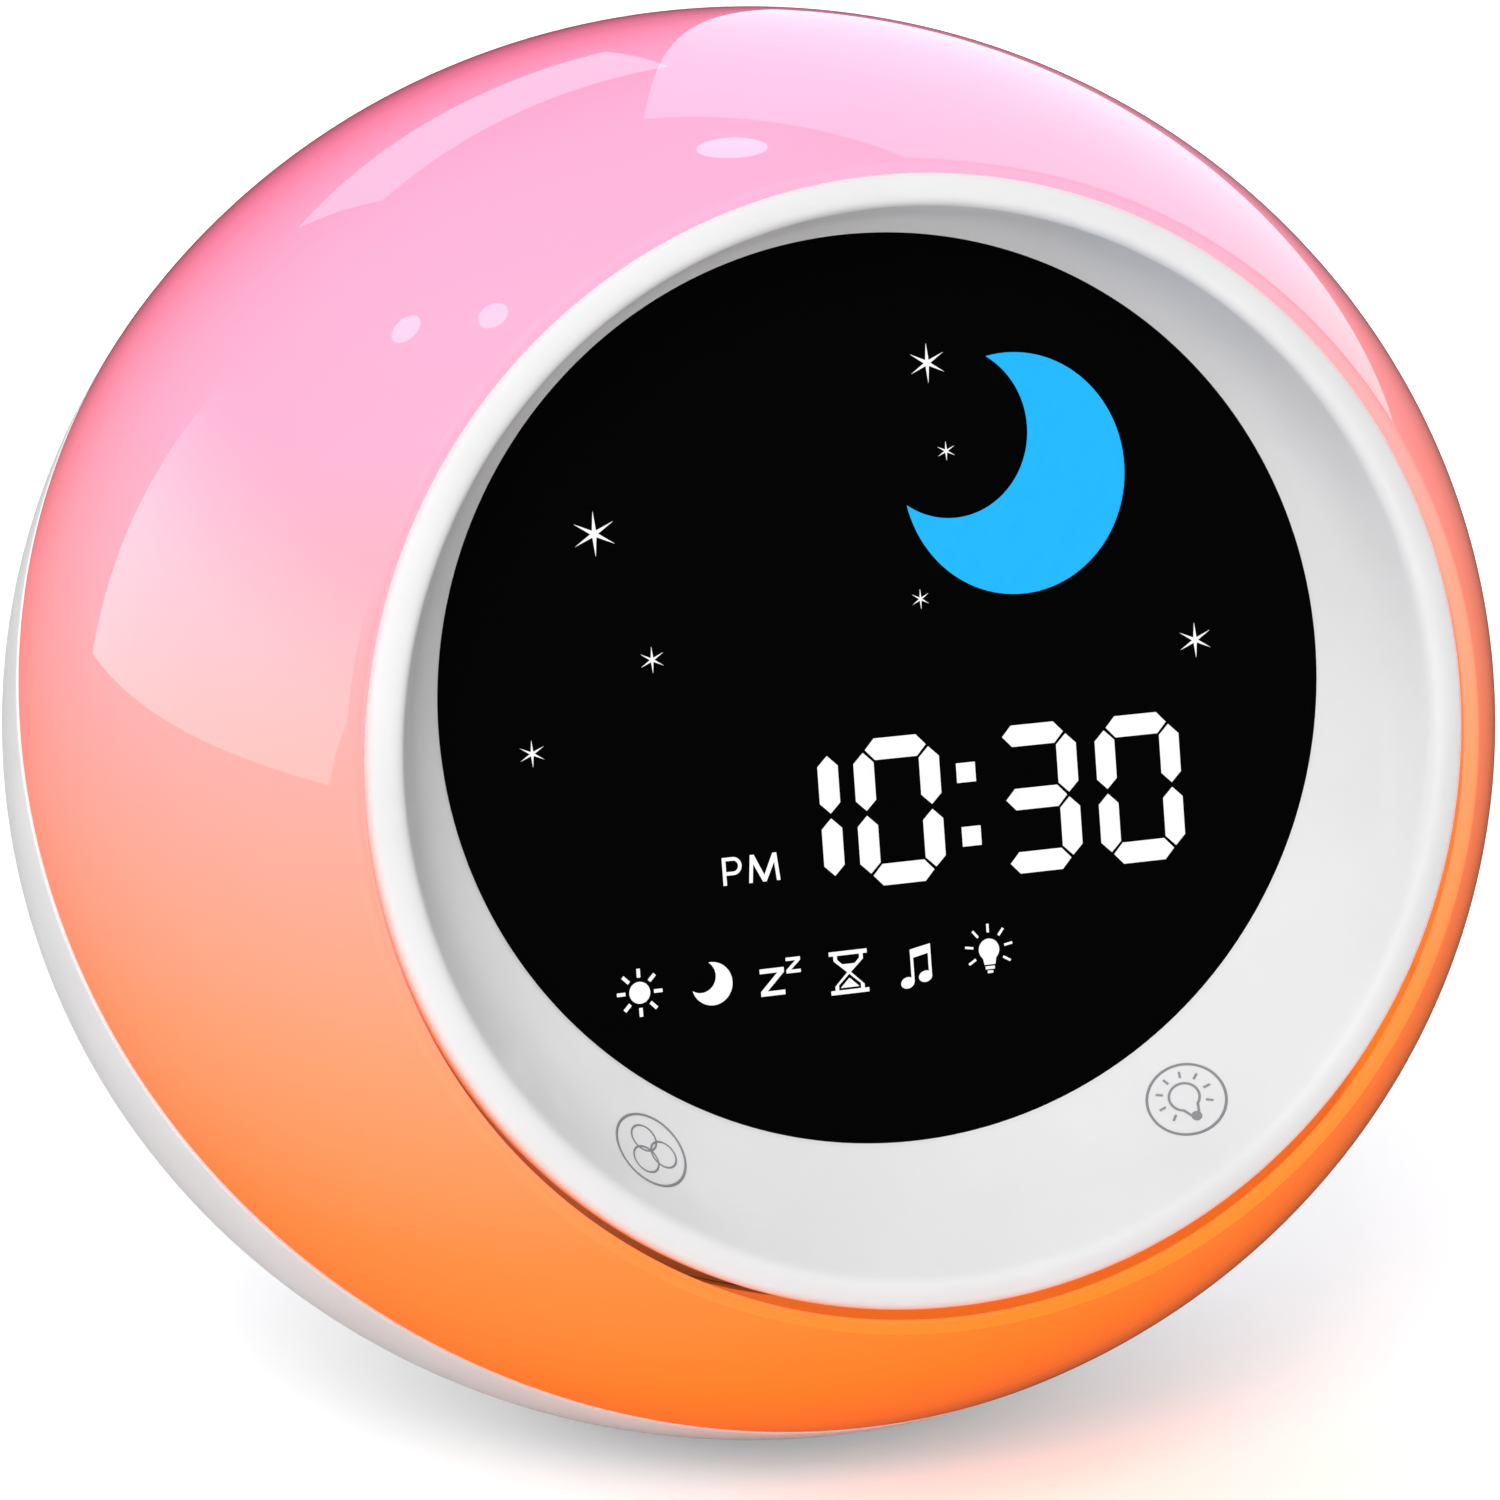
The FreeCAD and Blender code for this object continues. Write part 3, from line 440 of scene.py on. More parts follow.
prof = [(50.30, 48.20, 0.0, -2.5), (50.30, 48.20, 0.0, -1.6)]
for k in range(1, 8):                                     # outer corner of the rim
    a = math.pi / 2 * k / 8
    prof.append((50.30 - 0.9 * (1 - math.cos(a)), 48.20 - 0.9 * (1 - math.cos(a)), 0.0, -1.6 + 1.35 * math.sin(a)))
prof += [(49.0, 46.95, 0.0, -0.12), (48.5, 46.5, 0.0, -0.03), (48.0, 46.05, 0.0, -0.02), (47.6, 45.7, 0.0, -0.12)]
prof += [(47.25, 45.40, 0.03, -0.38), (46.98, 45.13, 0.08, -0.75)]
LIP = (46.98, 45.13, 0.08, -0.75)
END = (40.85, 39.15, 4.2, -9.83)
steps = 26
for k in range(1, steps + 1):
    t = k / steps
    bow = 0.55 * math.sin(math.pi * t)                    # the dish is slightly hollow
    f = lambda i: LIP[i] + (END[i] - LIP[i]) * t
    prof.append((f(0) + bow * 0.8, f(1) + bow * 0.8, f(2), f(3) - bow * 0.6))
prof += [(40.8, 39.1, 4.2, -9.95), (42.4, 40.7, 4.2, -9.95), (44.0, 42.3, 4.2, -12.9), (48.3, 46.2, 0.2, -2.8)]
bez = ring_mesh("bezel_skin", [oval_ring(*p) for p in prof], [M_BEZEL], close=True)
place(bez, replaces=["bezel"])

# ------------------------------------------------------------------ display panel
lens_prof = [(42.3, 40.6, 4.2, -11.85), (42.3, 40.6, 4.2, -10.05), (42.15, 40.45, 4.2, -9.9), (42.0, 40.3, 4.2, -9.86)]
for k in range(1, 30):
    s = 1 - k / 30
    lens_prof.append((42.0 * s, 40.3 * s, 4.2, LENS_W))
lens = ring_mesh("display_panel", [oval_ring(*p) for p in lens_prof], [M_LENS], cap0=True, cap1=True)
place(lens, replaces=["display_lens"])


# flat artwork on the display, as thin plates
def plate2d(name, polys, material, w=LENS_W + 0.03, thick=0.06, holes=(), body=BODY, origin=(0, 0), frame_fn=None, bevel=0.0, res=12):
    """polys and holes are lists of 2-D outlines in mm; the curve's own fill makes the plate."""
    cu = bpy.data.curves.new(name, "CURVE")
    cu.dimensions = "2D"
    cu.fill_mode = "BOTH"
    cu.extrude = thick / 2 * MM
    cu.bevel_depth = bevel * MM
    cu.bevel_resolution = 3
    for poly in list(polys) + list(holes):
        sp = cu.splines.new("POLY")
        sp.points.add(len(poly) - 1)
        for pnt, (x, y) in zip(sp.points, poly):
            pnt.co = (x * MM, y * MM, 0, 1)
        sp.use_cyclic_u = True
    tmp = bpy.data.objects.new(name + "_cu", cu)
    bpy.context.scene.collection.objects.link(tmp)
    dg = bpy.context.evaluated_depsgraph_get()
    me = bpy.data.meshes.new_from_object(tmp.evaluated_get(dg))
    bpy.data.objects.remove(tmp)
    me.name = name
    fn = frame_fn or (lambda x, y, z: face(x, y, w + z))
    for v_ in me.vertices:
        v_.co = fn(v_.co.x / MM + origin[0], v_.co.y / MM + origin[1], v_.co.z / MM)
    me.materials.clear()
    me.materials.append(material)
    ob = bpy.data.objects.new(name, me)
    bpy.context.scene.collection.objects.link(ob)
    bm = bmesh.new(); bm.from_mesh(me)
    bmesh.ops.remove_doubles(bm, verts=bm.verts, dist=1e-8)
    bmesh.ops.recalc_face_normals(bm, faces=bm.faces)
    bm.to_mesh(me); bm.free()
    place(ob, body)
    return ob


def disc_poly(cx, cy, r, n=40):
    return [(cx + r * math.cos(2 * math.pi * i / n), cy + r * math.sin(2 * math.pi * i / n)) for i in range(n)]


def bar(p, q, width, taper=0.0, ends="flat"):
    """A bar from p to q. With hex ends it is a seven-segment bar."""
    px, py = p; qx, qy = q
    dx, dy = qx - px, qy - py
    l = math.hypot(dx, dy); ux, uy = dx / l, dy / l; nx, ny = -uy, ux
    h = width / 2
    if ends == "hex":
        c = h * 0.95
        pts = [(0, 0), (c, h), (l - c, h), (l, 0), (l - c, -h), (c, -h)]
    elif ends == "spike":
        pts = [(0, 0), (l / 2, h), (l, 0), (l / 2, -h)]
    else:
        pts = [(0, h), (l, h), (l, -h), (0, -h)]
    return [(px + ux * a + nx * b_, py + uy * a + ny * b_) for a, b_ in pts]


def star(cx, cy, rw, rh, thin=0.17, tilt=0.0):
    """Six-pointed star of thin rays, longer up and down than across."""
    pts = []
    for k in range(12):
        a = math.pi / 2 + k * math.pi / 6 + tilt
        r = 1.0 if k % 2 == 0 else thin
        pts.append((cx + rw * r * math.cos(a) * 1.0, cy + rh * r * math.sin(a)))
    return pts


for i, (cx, cy, w_, h_) in enumerate([(5.54, 31.86, 33, 39), (6.74, 24.20, 17, 19), (-25.84, 19.69, 38, 44), (3.40, 11.70, 16, 20),
                                      (29.13, 5.89, 31, 35), (-21.50, 8.66, 22, 26), (-32.79, 1.75, 23, 26)]):
    # rays at 30 and 150 degrees set the width
    plate2d("star_%d" % i, [star(cx, cy, w_ / 10.77 / 2 / math.cos(math.pi / 6), h_ / 11.6 / 2)], M_WHITE, thick=0.05)

# crescent, plain: a disc with a round bite
def crescent(cx, cy, R, bx, by, r2, n=80):
    d = math.hypot(bx - cx, by - cy)
    a = (d * d + R * R - r2 * r2) / (2 * d)
    h = math.sqrt(R * R - a * a)
    ux, uy = (bx - cx) / d, (by - cy) / d
    p = (cx + ux * a - uy * h, cy + uy * a + ux * h)
    q = (cx + ux * a + uy * h, cy + uy * a - ux * h)
    a0, a1 = math.atan2(p[1] - cy, p[0] - cx), math.atan2(q[1] - cy, q[0] - cx)
    d1 = (a1 - a0) % (2 * math.pi)                     # the long way round, away from the bite
    out = [(cx + R * math.cos(a0 + d1 * i / n), cy + R * math.sin(a0 + d1 * i / n)) for i in range(n + 1)]
    s0, s1 = math.atan2(q[1] - by, q[0] - bx), math.atan2(p[1] - by, p[0] - bx)
    d2 = -((s0 - s1) % (2 * math.pi))
    mid = s0 + d2 / 2
    if (math.cos(mid) * (cx - bx) + math.sin(mid) * (cy - by)) < 0:
        d2 += 2 * math.pi
    return out + [(bx + r2 * math.cos(s0 + d2 * i / n), by + r2 * math.sin(s0 + d2 * i / n)) for i in range(1, n)]


plate2d("moon_blue", [crescent(13.0, 21.8, 10.45, 7.1, 25.8, 7.4)], M_BLUE, thick=0.05)

# digits
B = 1.86


def vbar(x0, y0, y1, w_=B):
    return bar((x0, y0), (x0, y1), w_, ends="hex")


def hbar(x0, x1, y0, w_=B):
    return bar((x0, y0), (x1, y0), w_, ends="hex")


def digit(name, cx, segs, half_w=3.05, top=-0.80, bottom=-11.65):
    mid = (top + bottom) / 2
    g = 0.22
    s = {
        "a": hbar(cx - half_w + g, cx + half_w - g, top), "d": hbar(cx - half_w + g, cx + half_w - g, bottom),
        "g": hbar(cx - half_w + g, cx + half_w - g, mid),
        "f": vbar(cx - half_w, mid + g, top - g), "b": vbar(cx + half_w, mid + g, top - g),
        "e": vbar(cx - half_w, bottom + g, mid - g), "c": vbar(cx + half_w, bottom + g, mid - g)}
    for k in segs:
        plate2d("%s_%s" % (name, k), [s[k]], M_WHITE)


digit("digit_one", -9.35, "bc", 3.05, -0.75, -11.5)
digit("digit_two", 0.08, "abcdef")
digit("digit_three", 13.0, "abgcd", 3.1, -0.9, -11.95)
digit("digit_four", 22.88, "abcdef", 3.1, -1.0, -12.1)
for i, (cx, cy) in enumerate([(6.5, -3.6), (6.62, -9.15)]):
    plate2d("colon_%d" % i, [[(cx - 0.88, cy - 0.85), (cx + 0.88, cy - 0.85), (cx + 0.88, cy + 0.85), (cx - 0.88, cy + 0.85)]], M_WHITE)


def arc_band(cx, cy, r, w_, a0, a1, n=28):
    o = [(cx + (r + w_ / 2) * math.cos(a0 + (a1 - a0) * i / n), cy + (r + w_ / 2) * math.sin(a0 + (a1 - a0) * i / n)) for i in range(n + 1)]
    q = [(cx + (r - w_ / 2) * math.cos(a1 + (a0 - a1) * i / n), cy + (r - w_ / 2) * math.sin(a1 + (a0 - a1) * i / n)) for i in range(n + 1)]
    return o + q


# PM
T = 0.30
px0, py0 = -16.55, -11.1
P_w, P_h = 1.75, 2.38
plate2d("letter_P", [bar((px0 + T / 2, py0), (px0 + T / 2, py0 + P_h), T)], M_WHITE)
bowl_r = 0.62
bx = px0 + P_w - bowl_r - T / 2
plate2d("letter_P_bowl", [[(px0 + T, py0 + P_h), (bx, py0 + P_h)] +
                          [(bx + (bowl_r + T / 2) * math.cos(a), py0 + P_h - bowl_r - T / 2 + (bowl_r + T / 2) * math.sin(a)) for a in [math.pi / 2 - math.pi * i / 20 for i in range(1, 20)]] +
                          [(bx, py0 + P_h - 2 * bowl_r - T), (px0 + T, py0 + P_h - 2 * bowl_r - T), (px0 + T, py0 + P_h - 2 * bowl_r), (bx, py0 + P_h - 2 * bowl_r)] +
                          [(bx + (bowl_r - T / 2) * math.cos(a), py0 + P_h - bowl_r - T / 2 + (bowl_r - T / 2) * math.sin(a)) for a in [-math.pi / 2 + math.pi * i / 20 for i in range(1, 20)]] +
                          [(bx, py0 + P_h - T), (px0 + T, py0 + P_h - T)]], M_WHITE)
mx0, mx1 = -14.2, -11.35
plate2d("letter_M", [[(mx0, py0), (mx0 + 0.22, py0 + P_h), (mx0 + 0.56, py0 + P_h), ((mx0 + mx1) / 2, py0 + 0.55), (mx1 - 0.56, py0 + P_h), (mx1 - 0.22, py0 + P_h), (mx1, py0),
                      (mx1 - T, py0), (mx1 - T - 0.16, py0 + P_h - 0.75), ((mx0 + mx1) / 2 + 0.15, py0), ((mx0 + mx1) / 2 - 0.15, py0), (mx0 + T + 0.16, py0 + P_h - 0.75), (mx0 + T, py0)]], M_WHITE)

# icon row
sx, sy = -24.82, -19.35
plate2d("icon_sun", [disc_poly(sx, sy, 0.93)], M_WHITE)
for k in range(8):
    a = k * math.pi / 4
    plate2d("icon_sun_ray_%d" % k, [bar((sx + 1.3 * math.cos(a), sy + 1.3 * math.sin(a)), (sx + 2.05 * math.cos(a), sy + 2.05 * math.sin(a)), 0.30)], M_WHITE)
plate2d("icon_moon", [crescent(-18.25, -19.3, 1.85, -19.25, -18.6, 1.40, 30)], M_WHITE)
zx, zy, zw, zh, t_ = -12.75, -19.75, 2.2, 2.35, 0.40


def letter_z(cx, cy, w_, h_, t):
    a, b_, c, d = cx - w_ / 2, cx + w_ / 2, cy - h_ / 2, cy + h_ / 2
    return [(a, d), (b_, d), (b_, d - t), (a + t * 1.45, c + t), (b_, c + t), (b_, c), (a, c), (a, c + t), (b_ - t * 1.45, d - t), (a, d - t)]


plate2d("icon_z_big", [letter_z(zx, zy, zw, zh, t_)], M_WHITE)
plate2d("icon_z_small", [letter_z(-10.75, -18.5, 1.3, 1.35, 0.28)], M_WHITE)
hx, hy = -5.67, -19.67
plate2d("icon_glass_top", [bar((hx - 1.75, hy + 1.68), (hx + 1.75, hy + 1.68), 0.36)], M_WHITE)
plate2d("icon_glass_bottom", [bar((hx - 1.75, hy - 1.68), (hx + 1.75, hy - 1.68), 0.36)], M_WHITE)
plate2d("icon_glass_side_a", [[(hx - 1.35, hy + 1.5), (hx - 1.03, hy + 1.5), (hx - 1.03, hy + 1.15), (hx + 1.35, hy - 1.15), (hx + 1.35, hy - 1.5), (hx + 1.03, hy - 1.5), (hx + 1.03, hy - 1.05), (hx - 1.35, hy + 1.05)]], M_WHITE)
plate2d("icon_glass_side_b", [[(hx + 1.35, hy + 1.5), (hx + 1.03, hy + 1.5), (hx + 1.03, hy + 1.15), (hx - 1.35, hy - 1.15), (hx - 1.35, hy - 1.5), (hx - 1.03, hy - 1.5), (hx - 1.03, hy - 1.05), (hx + 1.35, hy + 1.05)]], M_WHITE, w=LENS_W + 0.045)
plate2d("icon_glass_sand_top", [[(hx - 0.62, hy + 0.72), (hx + 0.62, hy + 0.72), (hx, hy + 0.12)]], M_WHITE, w=LENS_W + 0.05)
plate2d("icon_glass_sand_low", [[(hx - 0.85, hy - 1.3), (hx + 0.85, hy - 1.3), (hx, hy - 0.5)]], M_WHITE, w=LENS_W + 0.05)
nx_, ny_ = 0.55, -19.86


def oval_poly(cx, cy, a, b_, tilt, n=28):
    return [(cx + a * math.cos(t) * math.cos(tilt) - b_ * math.sin(t) * math.sin(tilt), cy + a * math.cos(t) * math.sin(tilt) + b_ * math.sin(t) * math.cos(tilt))
            for t in [2 * math.pi * i / n for i in range(n)]]


plate2d("icon_note_head_a", [oval_poly(nx_ - 0.85, ny_ - 1.35, 0.62, 0.48, 0.25)], M_WHITE)
plate2d("icon_note_head_b", [oval_poly(nx_ + 0.85, ny_ - 0.95, 0.62, 0.48, 0.25)], M_WHITE)
plate2d("icon_note_stem", [[(nx_ - 0.46, ny_ - 1.35), (nx_ - 0.22, ny_ - 1.35), (nx_ - 0.22, ny_ + 0.78), (nx_ + 1.20, ny_ + 1.05), (nx_ + 1.20, ny_ - 0.95), (nx_ + 1.44, ny_ - 0.95), (nx_ + 1.44, ny_ + 1.85), (nx_ - 0.46, ny_ + 1.5)]], M_WHITE, w=LENS_W + 0.045)
bx_, by_ = 7.5, -19.3
plate2d("icon_bulb", [[(bx_ + 0.95 * math.cos(a), by_ + 0.15 + 0.95 * math.sin(a)) for a in [math.radians(-50 + 280 * i / 36) for i in range(37)]] + [(bx_ - 0.5, by_ - 1.15), (bx_ + 0.5, by_ - 1.15)]], M_WHITE)
plate2d("icon_bulb_cap", [bar((bx_ - 0.42, by_ - 1.42), (bx_ + 0.42, by_ - 1.42), 0.26)], M_WHITE)
plate2d("icon_bulb_tip", [bar((bx_ - 0.25, by_ - 1.78), (bx_ + 0.25, by_ - 1.78), 0.22)], M_WHITE)
for k in range(7):
    a = math.radians(-30 + 40 * k)
    plate2d("icon_bulb_ray_%d" % k, [bar((bx_ + 1.5 * math.cos(a), by_ + 0.15 + 1.5 * math.sin(a)), (bx_ + 2.25 * math.cos(a), by_ + 0.15 + 2.25 * math.sin(a)), 0.2)], M_WHITE)

# ------------------------------------------------------------------ touch marks printed on the dish
def dish_ring(t):
    bow = 0.55 * math.sin(math.pi * t)
    f = [LIP[k] + (END[k] - LIP[k]) * t for k in range(4)]
    return f[0] + bow * 0.8, f[1] + bow * 0.8, f[2], f[3] - bow * 0.6


def dish_w(x, v):
    a, b_ = 0.0, 1.0
    for _ in range(40):
        m = (a + b_) / 2
        rx, rv, up, w = dish_ring(m)
        if (x / rx) ** 2 + ((v - up) / rv) ** 2 < 1:
            a = m
        else:
            b_ = m
    return dish_ring((a + b_) / 2)[3]


def mark_fn(centre, right, up, lift):
    c0, r0, u0 = Vector(centre), Vector(right), Vector(up)
    nrm = r0.cross(u0)

    def fn(x, y, z):
        q = c0 + r0 * x + u0 * y
        return face(q.x, q.y, dish_w(q.x, q.y) + (lift + z) / nrm.z)
    return fn


L_FN = mark_fn((-26.4, -32.1, -5.6), (0.872, 0.0, -0.489), (-0.277, 0.824, -0.494), 0.03)
R_FN = mark_fn((23.4, -33.7, -5.9), (0.903, 0.0, 0.431), (0.251, 0.812, -0.526), 0.03)


def band_ring(name, cx, cy, r, w_, fn, material, body=BODY, thick=0.03, tall=1.0):
    """A printed ring, as rings of quads so that it follows a curved surface."""
    n = 72
    rows = [(r - w_ / 2, -thick / 2), (r - w_ / 2, thick / 2), (r + w_ / 2, thick / 2), (r + w_ / 2, -thick / 2)]
    rr = [[fn(cx + a * math.cos(2 * math.pi * j / n), cy + a * tall * math.sin(2 * math.pi * j / n), z) for j in range(n)] for a, z in rows]
    ob = ring_mesh(name, rr, [material], close=True)
    place(ob, body)
    return ob


band_ring("mark_left_ring", 0, 0, 3.55, 0.23, L_FN, M_PRINT)
for k, (cx, cy) in enumerate([(0.0, 1.18), (-1.12, -0.72), (1.12, -0.72)]):
    band_ring("mark_left_loop_%d" % k, cx, cy, 1.28, 0.17, L_FN, M_PRINT)
band_ring("mark_right_ring", 0, 0, 3.45, 0.23, R_FN, M_PRINT)


def mark_bulb(prefix, fn, material, s_=1.0, body=BODY):
    arc = arc_band(0, 0.25, 1.22 * s_, 0.2 * s_, math.radians(-58), math.radians(238), 40)
    plate2d(prefix + "_globe", [arc], material, thick=0.03, frame_fn=fn, body=body)
    plate2d(prefix + "_neck_a", [bar((-0.66 * s_, -0.75 * s_), (-0.34 * s_, -1.5 * s_), 0.2 * s_)], material, thick=0.03, frame_fn=fn, body=body)
    plate2d(prefix + "_neck_b", [bar((0.66 * s_, -0.75 * s_), (0.34 * s_, -1.5 * s_), 0.2 * s_)], material, thick=0.03, frame_fn=fn, body=body)
    plate2d(prefix + "_foot", [disc_poly(0, -1.72 * s_, 0.42 * s_, 20)], material, thick=0.03, frame_fn=fn, body=body)
    for k in range(8):
        a = math.radians(-38 + k * 256 / 7)
        plate2d("%s_ray_%d" % (prefix, k), [bar((1.72 * s_ * math.cos(a), 0.25 + 1.72 * s_ * math.sin(a)), (2.3 * s_ * math.cos(a), 0.25 + 2.3 * s_ * math.sin(a)), 0.19 * s_)],
                material, thick=0.03, frame_fn=fn, body=body)


TILT = math.radians(27)
R_TILT = mark_fn((23.4, -33.7, -5.9), [0.903 * math.cos(TILT) + 0.251 * math.sin(TILT), 0.812 * math.sin(TILT), 0.431 * math.cos(TILT) - 0.526 * math.sin(TILT)],
                 [0.251 * math.cos(TILT) - 0.903 * math.sin(TILT), 0.812 * math.cos(TILT), -0.526 * math.cos(TILT) - 0.431 * math.sin(TILT)], 0.03)
mark_bulb("mark_bulb", R_TILT, M_PRINT, 1.1)

# ------------------------------------------------------------------ rear housing
rings = wall_between(NS, -0.15, Vector((0, -1, 0)), -BACK_Y, 2.5, 60, 0.4, 0.35)
house = ring_mesh("housing_skin", rings, [M_HOUSE], close=True)
for v_ in house.data.vertices:                            # flat base with a softened corner
    z = (v_.co.z - C.z) / MM
    lim, soft = -BASE, 0.5
    if z < lim + soft:
        v_.co.z = C.z + max(lim + soft * math.exp((z - lim - soft) / soft), z) * MM
place(house)
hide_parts("rear_housing")


def rounded_rect(cx, cy, w_, h_, r, n=8):
    pts = []
    for qx, qy, a0 in ((1, 1, 0), (-1, 1, 90), (-1, -1, 180), (1, -1, 270)):
        for k in range(n + 1):
            a = math.radians(a0 + 90 * k / n)
            pts.append((cx + qx * (w_ / 2 - r) + r * math.cos(a), cy + qy * (h_ / 2 - r) + r * math.sin(a)))
    return pts


def rear_fn(y0):
    """Local (x, y, z) of a plate to the back of the clock: x stays, y is height, z is out towards the back."""
    return lambda x, y, z: Vector((x, y0 + z, 0)) * MM + Vector((0, 0, C.z + y * MM))


BOSSES = [(-24, 30), (24, 30), (-34, -8), (34, -8)]
BV = 0.25
ax_, az_ = RX * math.sqrt(1 - (BACK_Y / RX) ** 2), RZ * math.sqrt(1 - (BACK_Y / RX) ** 2)
outline = [((ax_ - 0.1 - BV) * math.cos(2 * math.pi * k / 240), (az_ - 0.1 - BV) * math.sin(2 * math.pi * k / 240)) for k in range(240)]
holes = []
for ring_r, count in ((0.0, 1), (4.0, 6), (8.0, 12), (11.6, 18)):
    for k in range(count):
        a = 2 * math.pi * k / count
        holes.append(disc_poly(ring_r * math.cos(a), 27 + ring_r * math.sin(a), 1.0 + BV, 20))
for k in range(5):
    holes.append(disc_poly(12.0 * (k - 2), 8.0, 3.25 + BV, 40))
for bx, bz in BOSSES:
    holes.append(disc_poly(bx, bz, 3.2 + BV, 40))
holes.append(rounded_rect(0, -18, 50.5 + 2 * BV, 33.5 + 2 * BV, 0.6))
holes.append(rounded_rect(32.45, 19.0, 9.4 + 2 * BV, 3.7 + 2 * BV, 1.9))
holes.append(rounded_rect(-32.0, 18.0, 8.6 + 2 * BV, 3.6 + 2 * BV, 0.5))
panel = plate2d("rear_panel", [outline], M_HOUSE, thick=2.5 - 2 * BV, holes=holes, frame_fn=rear_fn(BACK_Y - 1.25), bevel=BV)
sharp_by_angle(panel, 50)
seat = plate2d("battery_seat", [rounded_rect(0, -18, 55.5, 36.0, 1.0)], M_HOUSE, thick=4.4, holes=[rounded_rect(0, -18, 46.6, 32.0, 1.0)],
               frame_fn=rear_fn(45.65))
for k, (bx, bz) in enumerate(BOSSES):
    prof_b = [(3.2, 47.7), (3.2, 27.0), (1.75, 27.0), (1.75, 24.0), (3.7, 24.0), (3.7, 47.7)]
    rr = [[Vector((bx + r_ * math.cos(2 * math.pi * j / 40), y_, 0)) * MM + Vector((0, 0, C.z + (bz + r_ * math.sin(2 * math.pi * j / 40)) * MM)) for j in range(40)] for r_, y_ in prof_b]
    bo = ring_mesh("screw_well_%d" % k, rr, [M_HOUSE], close=True)
    sharp_by_angle(bo)
    place(bo)

# marks on the buttons and beside the switch
TOP = BACK_Y + 1.4


def cap_fn(cx, cz):
    return lambda x, y, z: Vector((cx - x, TOP + 0.02 + z, 0)) * MM + Vector((0, 0, C.z + (cz + y) * MM))


def panel_fn(cx, cz):
    return lambda x, y, z: Vector((cx - x, BACK_Y + 0.02 + z, 0)) * MM + Vector((0, 0, C.z + (cz + y) * MM))


f0 = cap_fn(-24, 8)
band_ring("cap_time_ring", 0, 0, 1.35, 0.22, f0, M_PRINT, "time_button")
plate2d("cap_time_hand_a", [bar((0, 0), (0, 0.95), 0.2)], M_PRINT, thick=0.03, frame_fn=f0, body="time_button")
plate2d("cap_time_hand_b", [bar((-0.1, 0), (0.75, 0), 0.2)], M_PRINT, thick=0.03, frame_fn=f0, body="time_button")
f1 = cap_fn(-12, 8)
bell = [(-1.25, -0.75), (-0.9, -0.35), (-0.82, 0.25)] + [(0.82 * math.cos(a), 0.35 + 0.95 * math.sin(a)) for a in [math.pi - math.pi * k / 16 for k in range(1, 16)]] + [(0.82, 0.25), (0.9, -0.35), (1.25, -0.75)]
plate2d("cap_bell", [bell], M_PRINT, thick=0.03, frame_fn=f1, body="alarm_button")
plate2d("cap_bell_clapper", [disc_poly(0, -1.12, 0.26, 20)], M_PRINT, thick=0.03, frame_fn=f1, body="alarm_button")
f2 = cap_fn(0, 8)
plate2d("cap_plus", [[(-1.1, -0.14), (-0.14, -0.14), (-0.14, -1.1), (0.14, -1.1), (0.14, -0.14), (1.1, -0.14), (1.1, 0.14), (0.14, 0.14), (0.14, 1.1), (-0.14, 1.1), (-0.14, 0.14), (-1.1, 0.14)]],
        M_PRINT, thick=0.03, frame_fn=f2, body="plus_button")
plate2d("cap_minus", [bar((-1.1, 0), (1.1, 0), 0.28)], M_PRINT, thick=0.03, frame_fn=cap_fn(12, 8), body="minus_button")
f4 = cap_fn(24, 8)
plate2d("cap_sound_cone", [[(-1.2, -0.4), (-0.7, -0.4), (-0.05, -1.0), (-0.05, 1.0), (-0.7, 0.4), (-1.2, 0.4)]], M_PRINT, thick=0.03, frame_fn=f4, body="volume_button")
for k, rr_ in enumerate((0.55, 1.1)):
    plate2d("cap_sound_wave_%d" % k, [arc_band(0.05, 0, rr_, 0.2, -0.9, 0.9, 16)], M_PRINT, thick=0.03, frame_fn=f4, body="volume_button")
plate2d("switch_mark_on", [bar((0, -0.9), (0, 0.9), 0.28)], M_PRINT, thick=0.03, frame_fn=panel_fn(-25.6, 18.0))
band_ring("switch_mark_off", 0, 0, 0.8, 0.26, panel_fn(-38.6, 18.0), M_PRINT)

# ------------------------------------------------------------------ floor, lights, camera
def area(name, loc, target, sx_, sy_, energy, col=(1, 1, 1)):
    l = bpy.data.lights.new(name, "AREA")
    l.shape = "RECTANGLE"; l.size, l.size_y = sx_, sy_
    l.energy = energy; l.color = col
    o = bpy.data.objects.new(name, l)
    o.location = loc
    o.rotation_mode = "QUATERNION"
    o.rotation_quaternion = (Vector(target) - Vector(loc)).to_track_quat("-Z", "Y")
    bpy.context.scene.collection.objects.link(o)
    return o


fm, nt, p = mat("floor_pale")
tc = nt.nodes.new("ShaderNodeTexCoord")
n = nt.nodes.new("ShaderNodeTexNoise"); n.inputs["Scale"].default_value = 3.0
link(nt, tc.outputs["Object"], n.inputs["Vector"])
r = nt.nodes.new("ShaderNodeValToRGB")
r.color_ramp.elements[0].color = (0.90, 0.90, 0.90, 1); r.color_ramp.elements[1].color = (0.93, 0.93, 0.93, 1)
link(nt, n.outputs["Fac"], r.inputs["Fac"]); link(nt, r.outputs["Color"], p.inputs["Base Color"])
p.inputs["Roughness"].default_value = 0.9
p.inputs["Specular IOR Level"].default_value = 0.1
link(nt, r.outputs["Color"], p.inputs["Emission Color"])
flp = nt.nodes.new("ShaderNodeLightPath")                 # painted light: camera rays see the sheet glow, so it reads as paper white, without lighting the clock from below
fmr = nt.nodes.new("ShaderNodeMapRange")
fmr.inputs["To Min"].default_value = 0.05
# the painted light grows from near the clock, where the lamps' contact shadow falls, out to the far floor, which the
# lamps light less
flen = nt.nodes.new("ShaderNodeVectorMath"); flen.operation = "LENGTH"
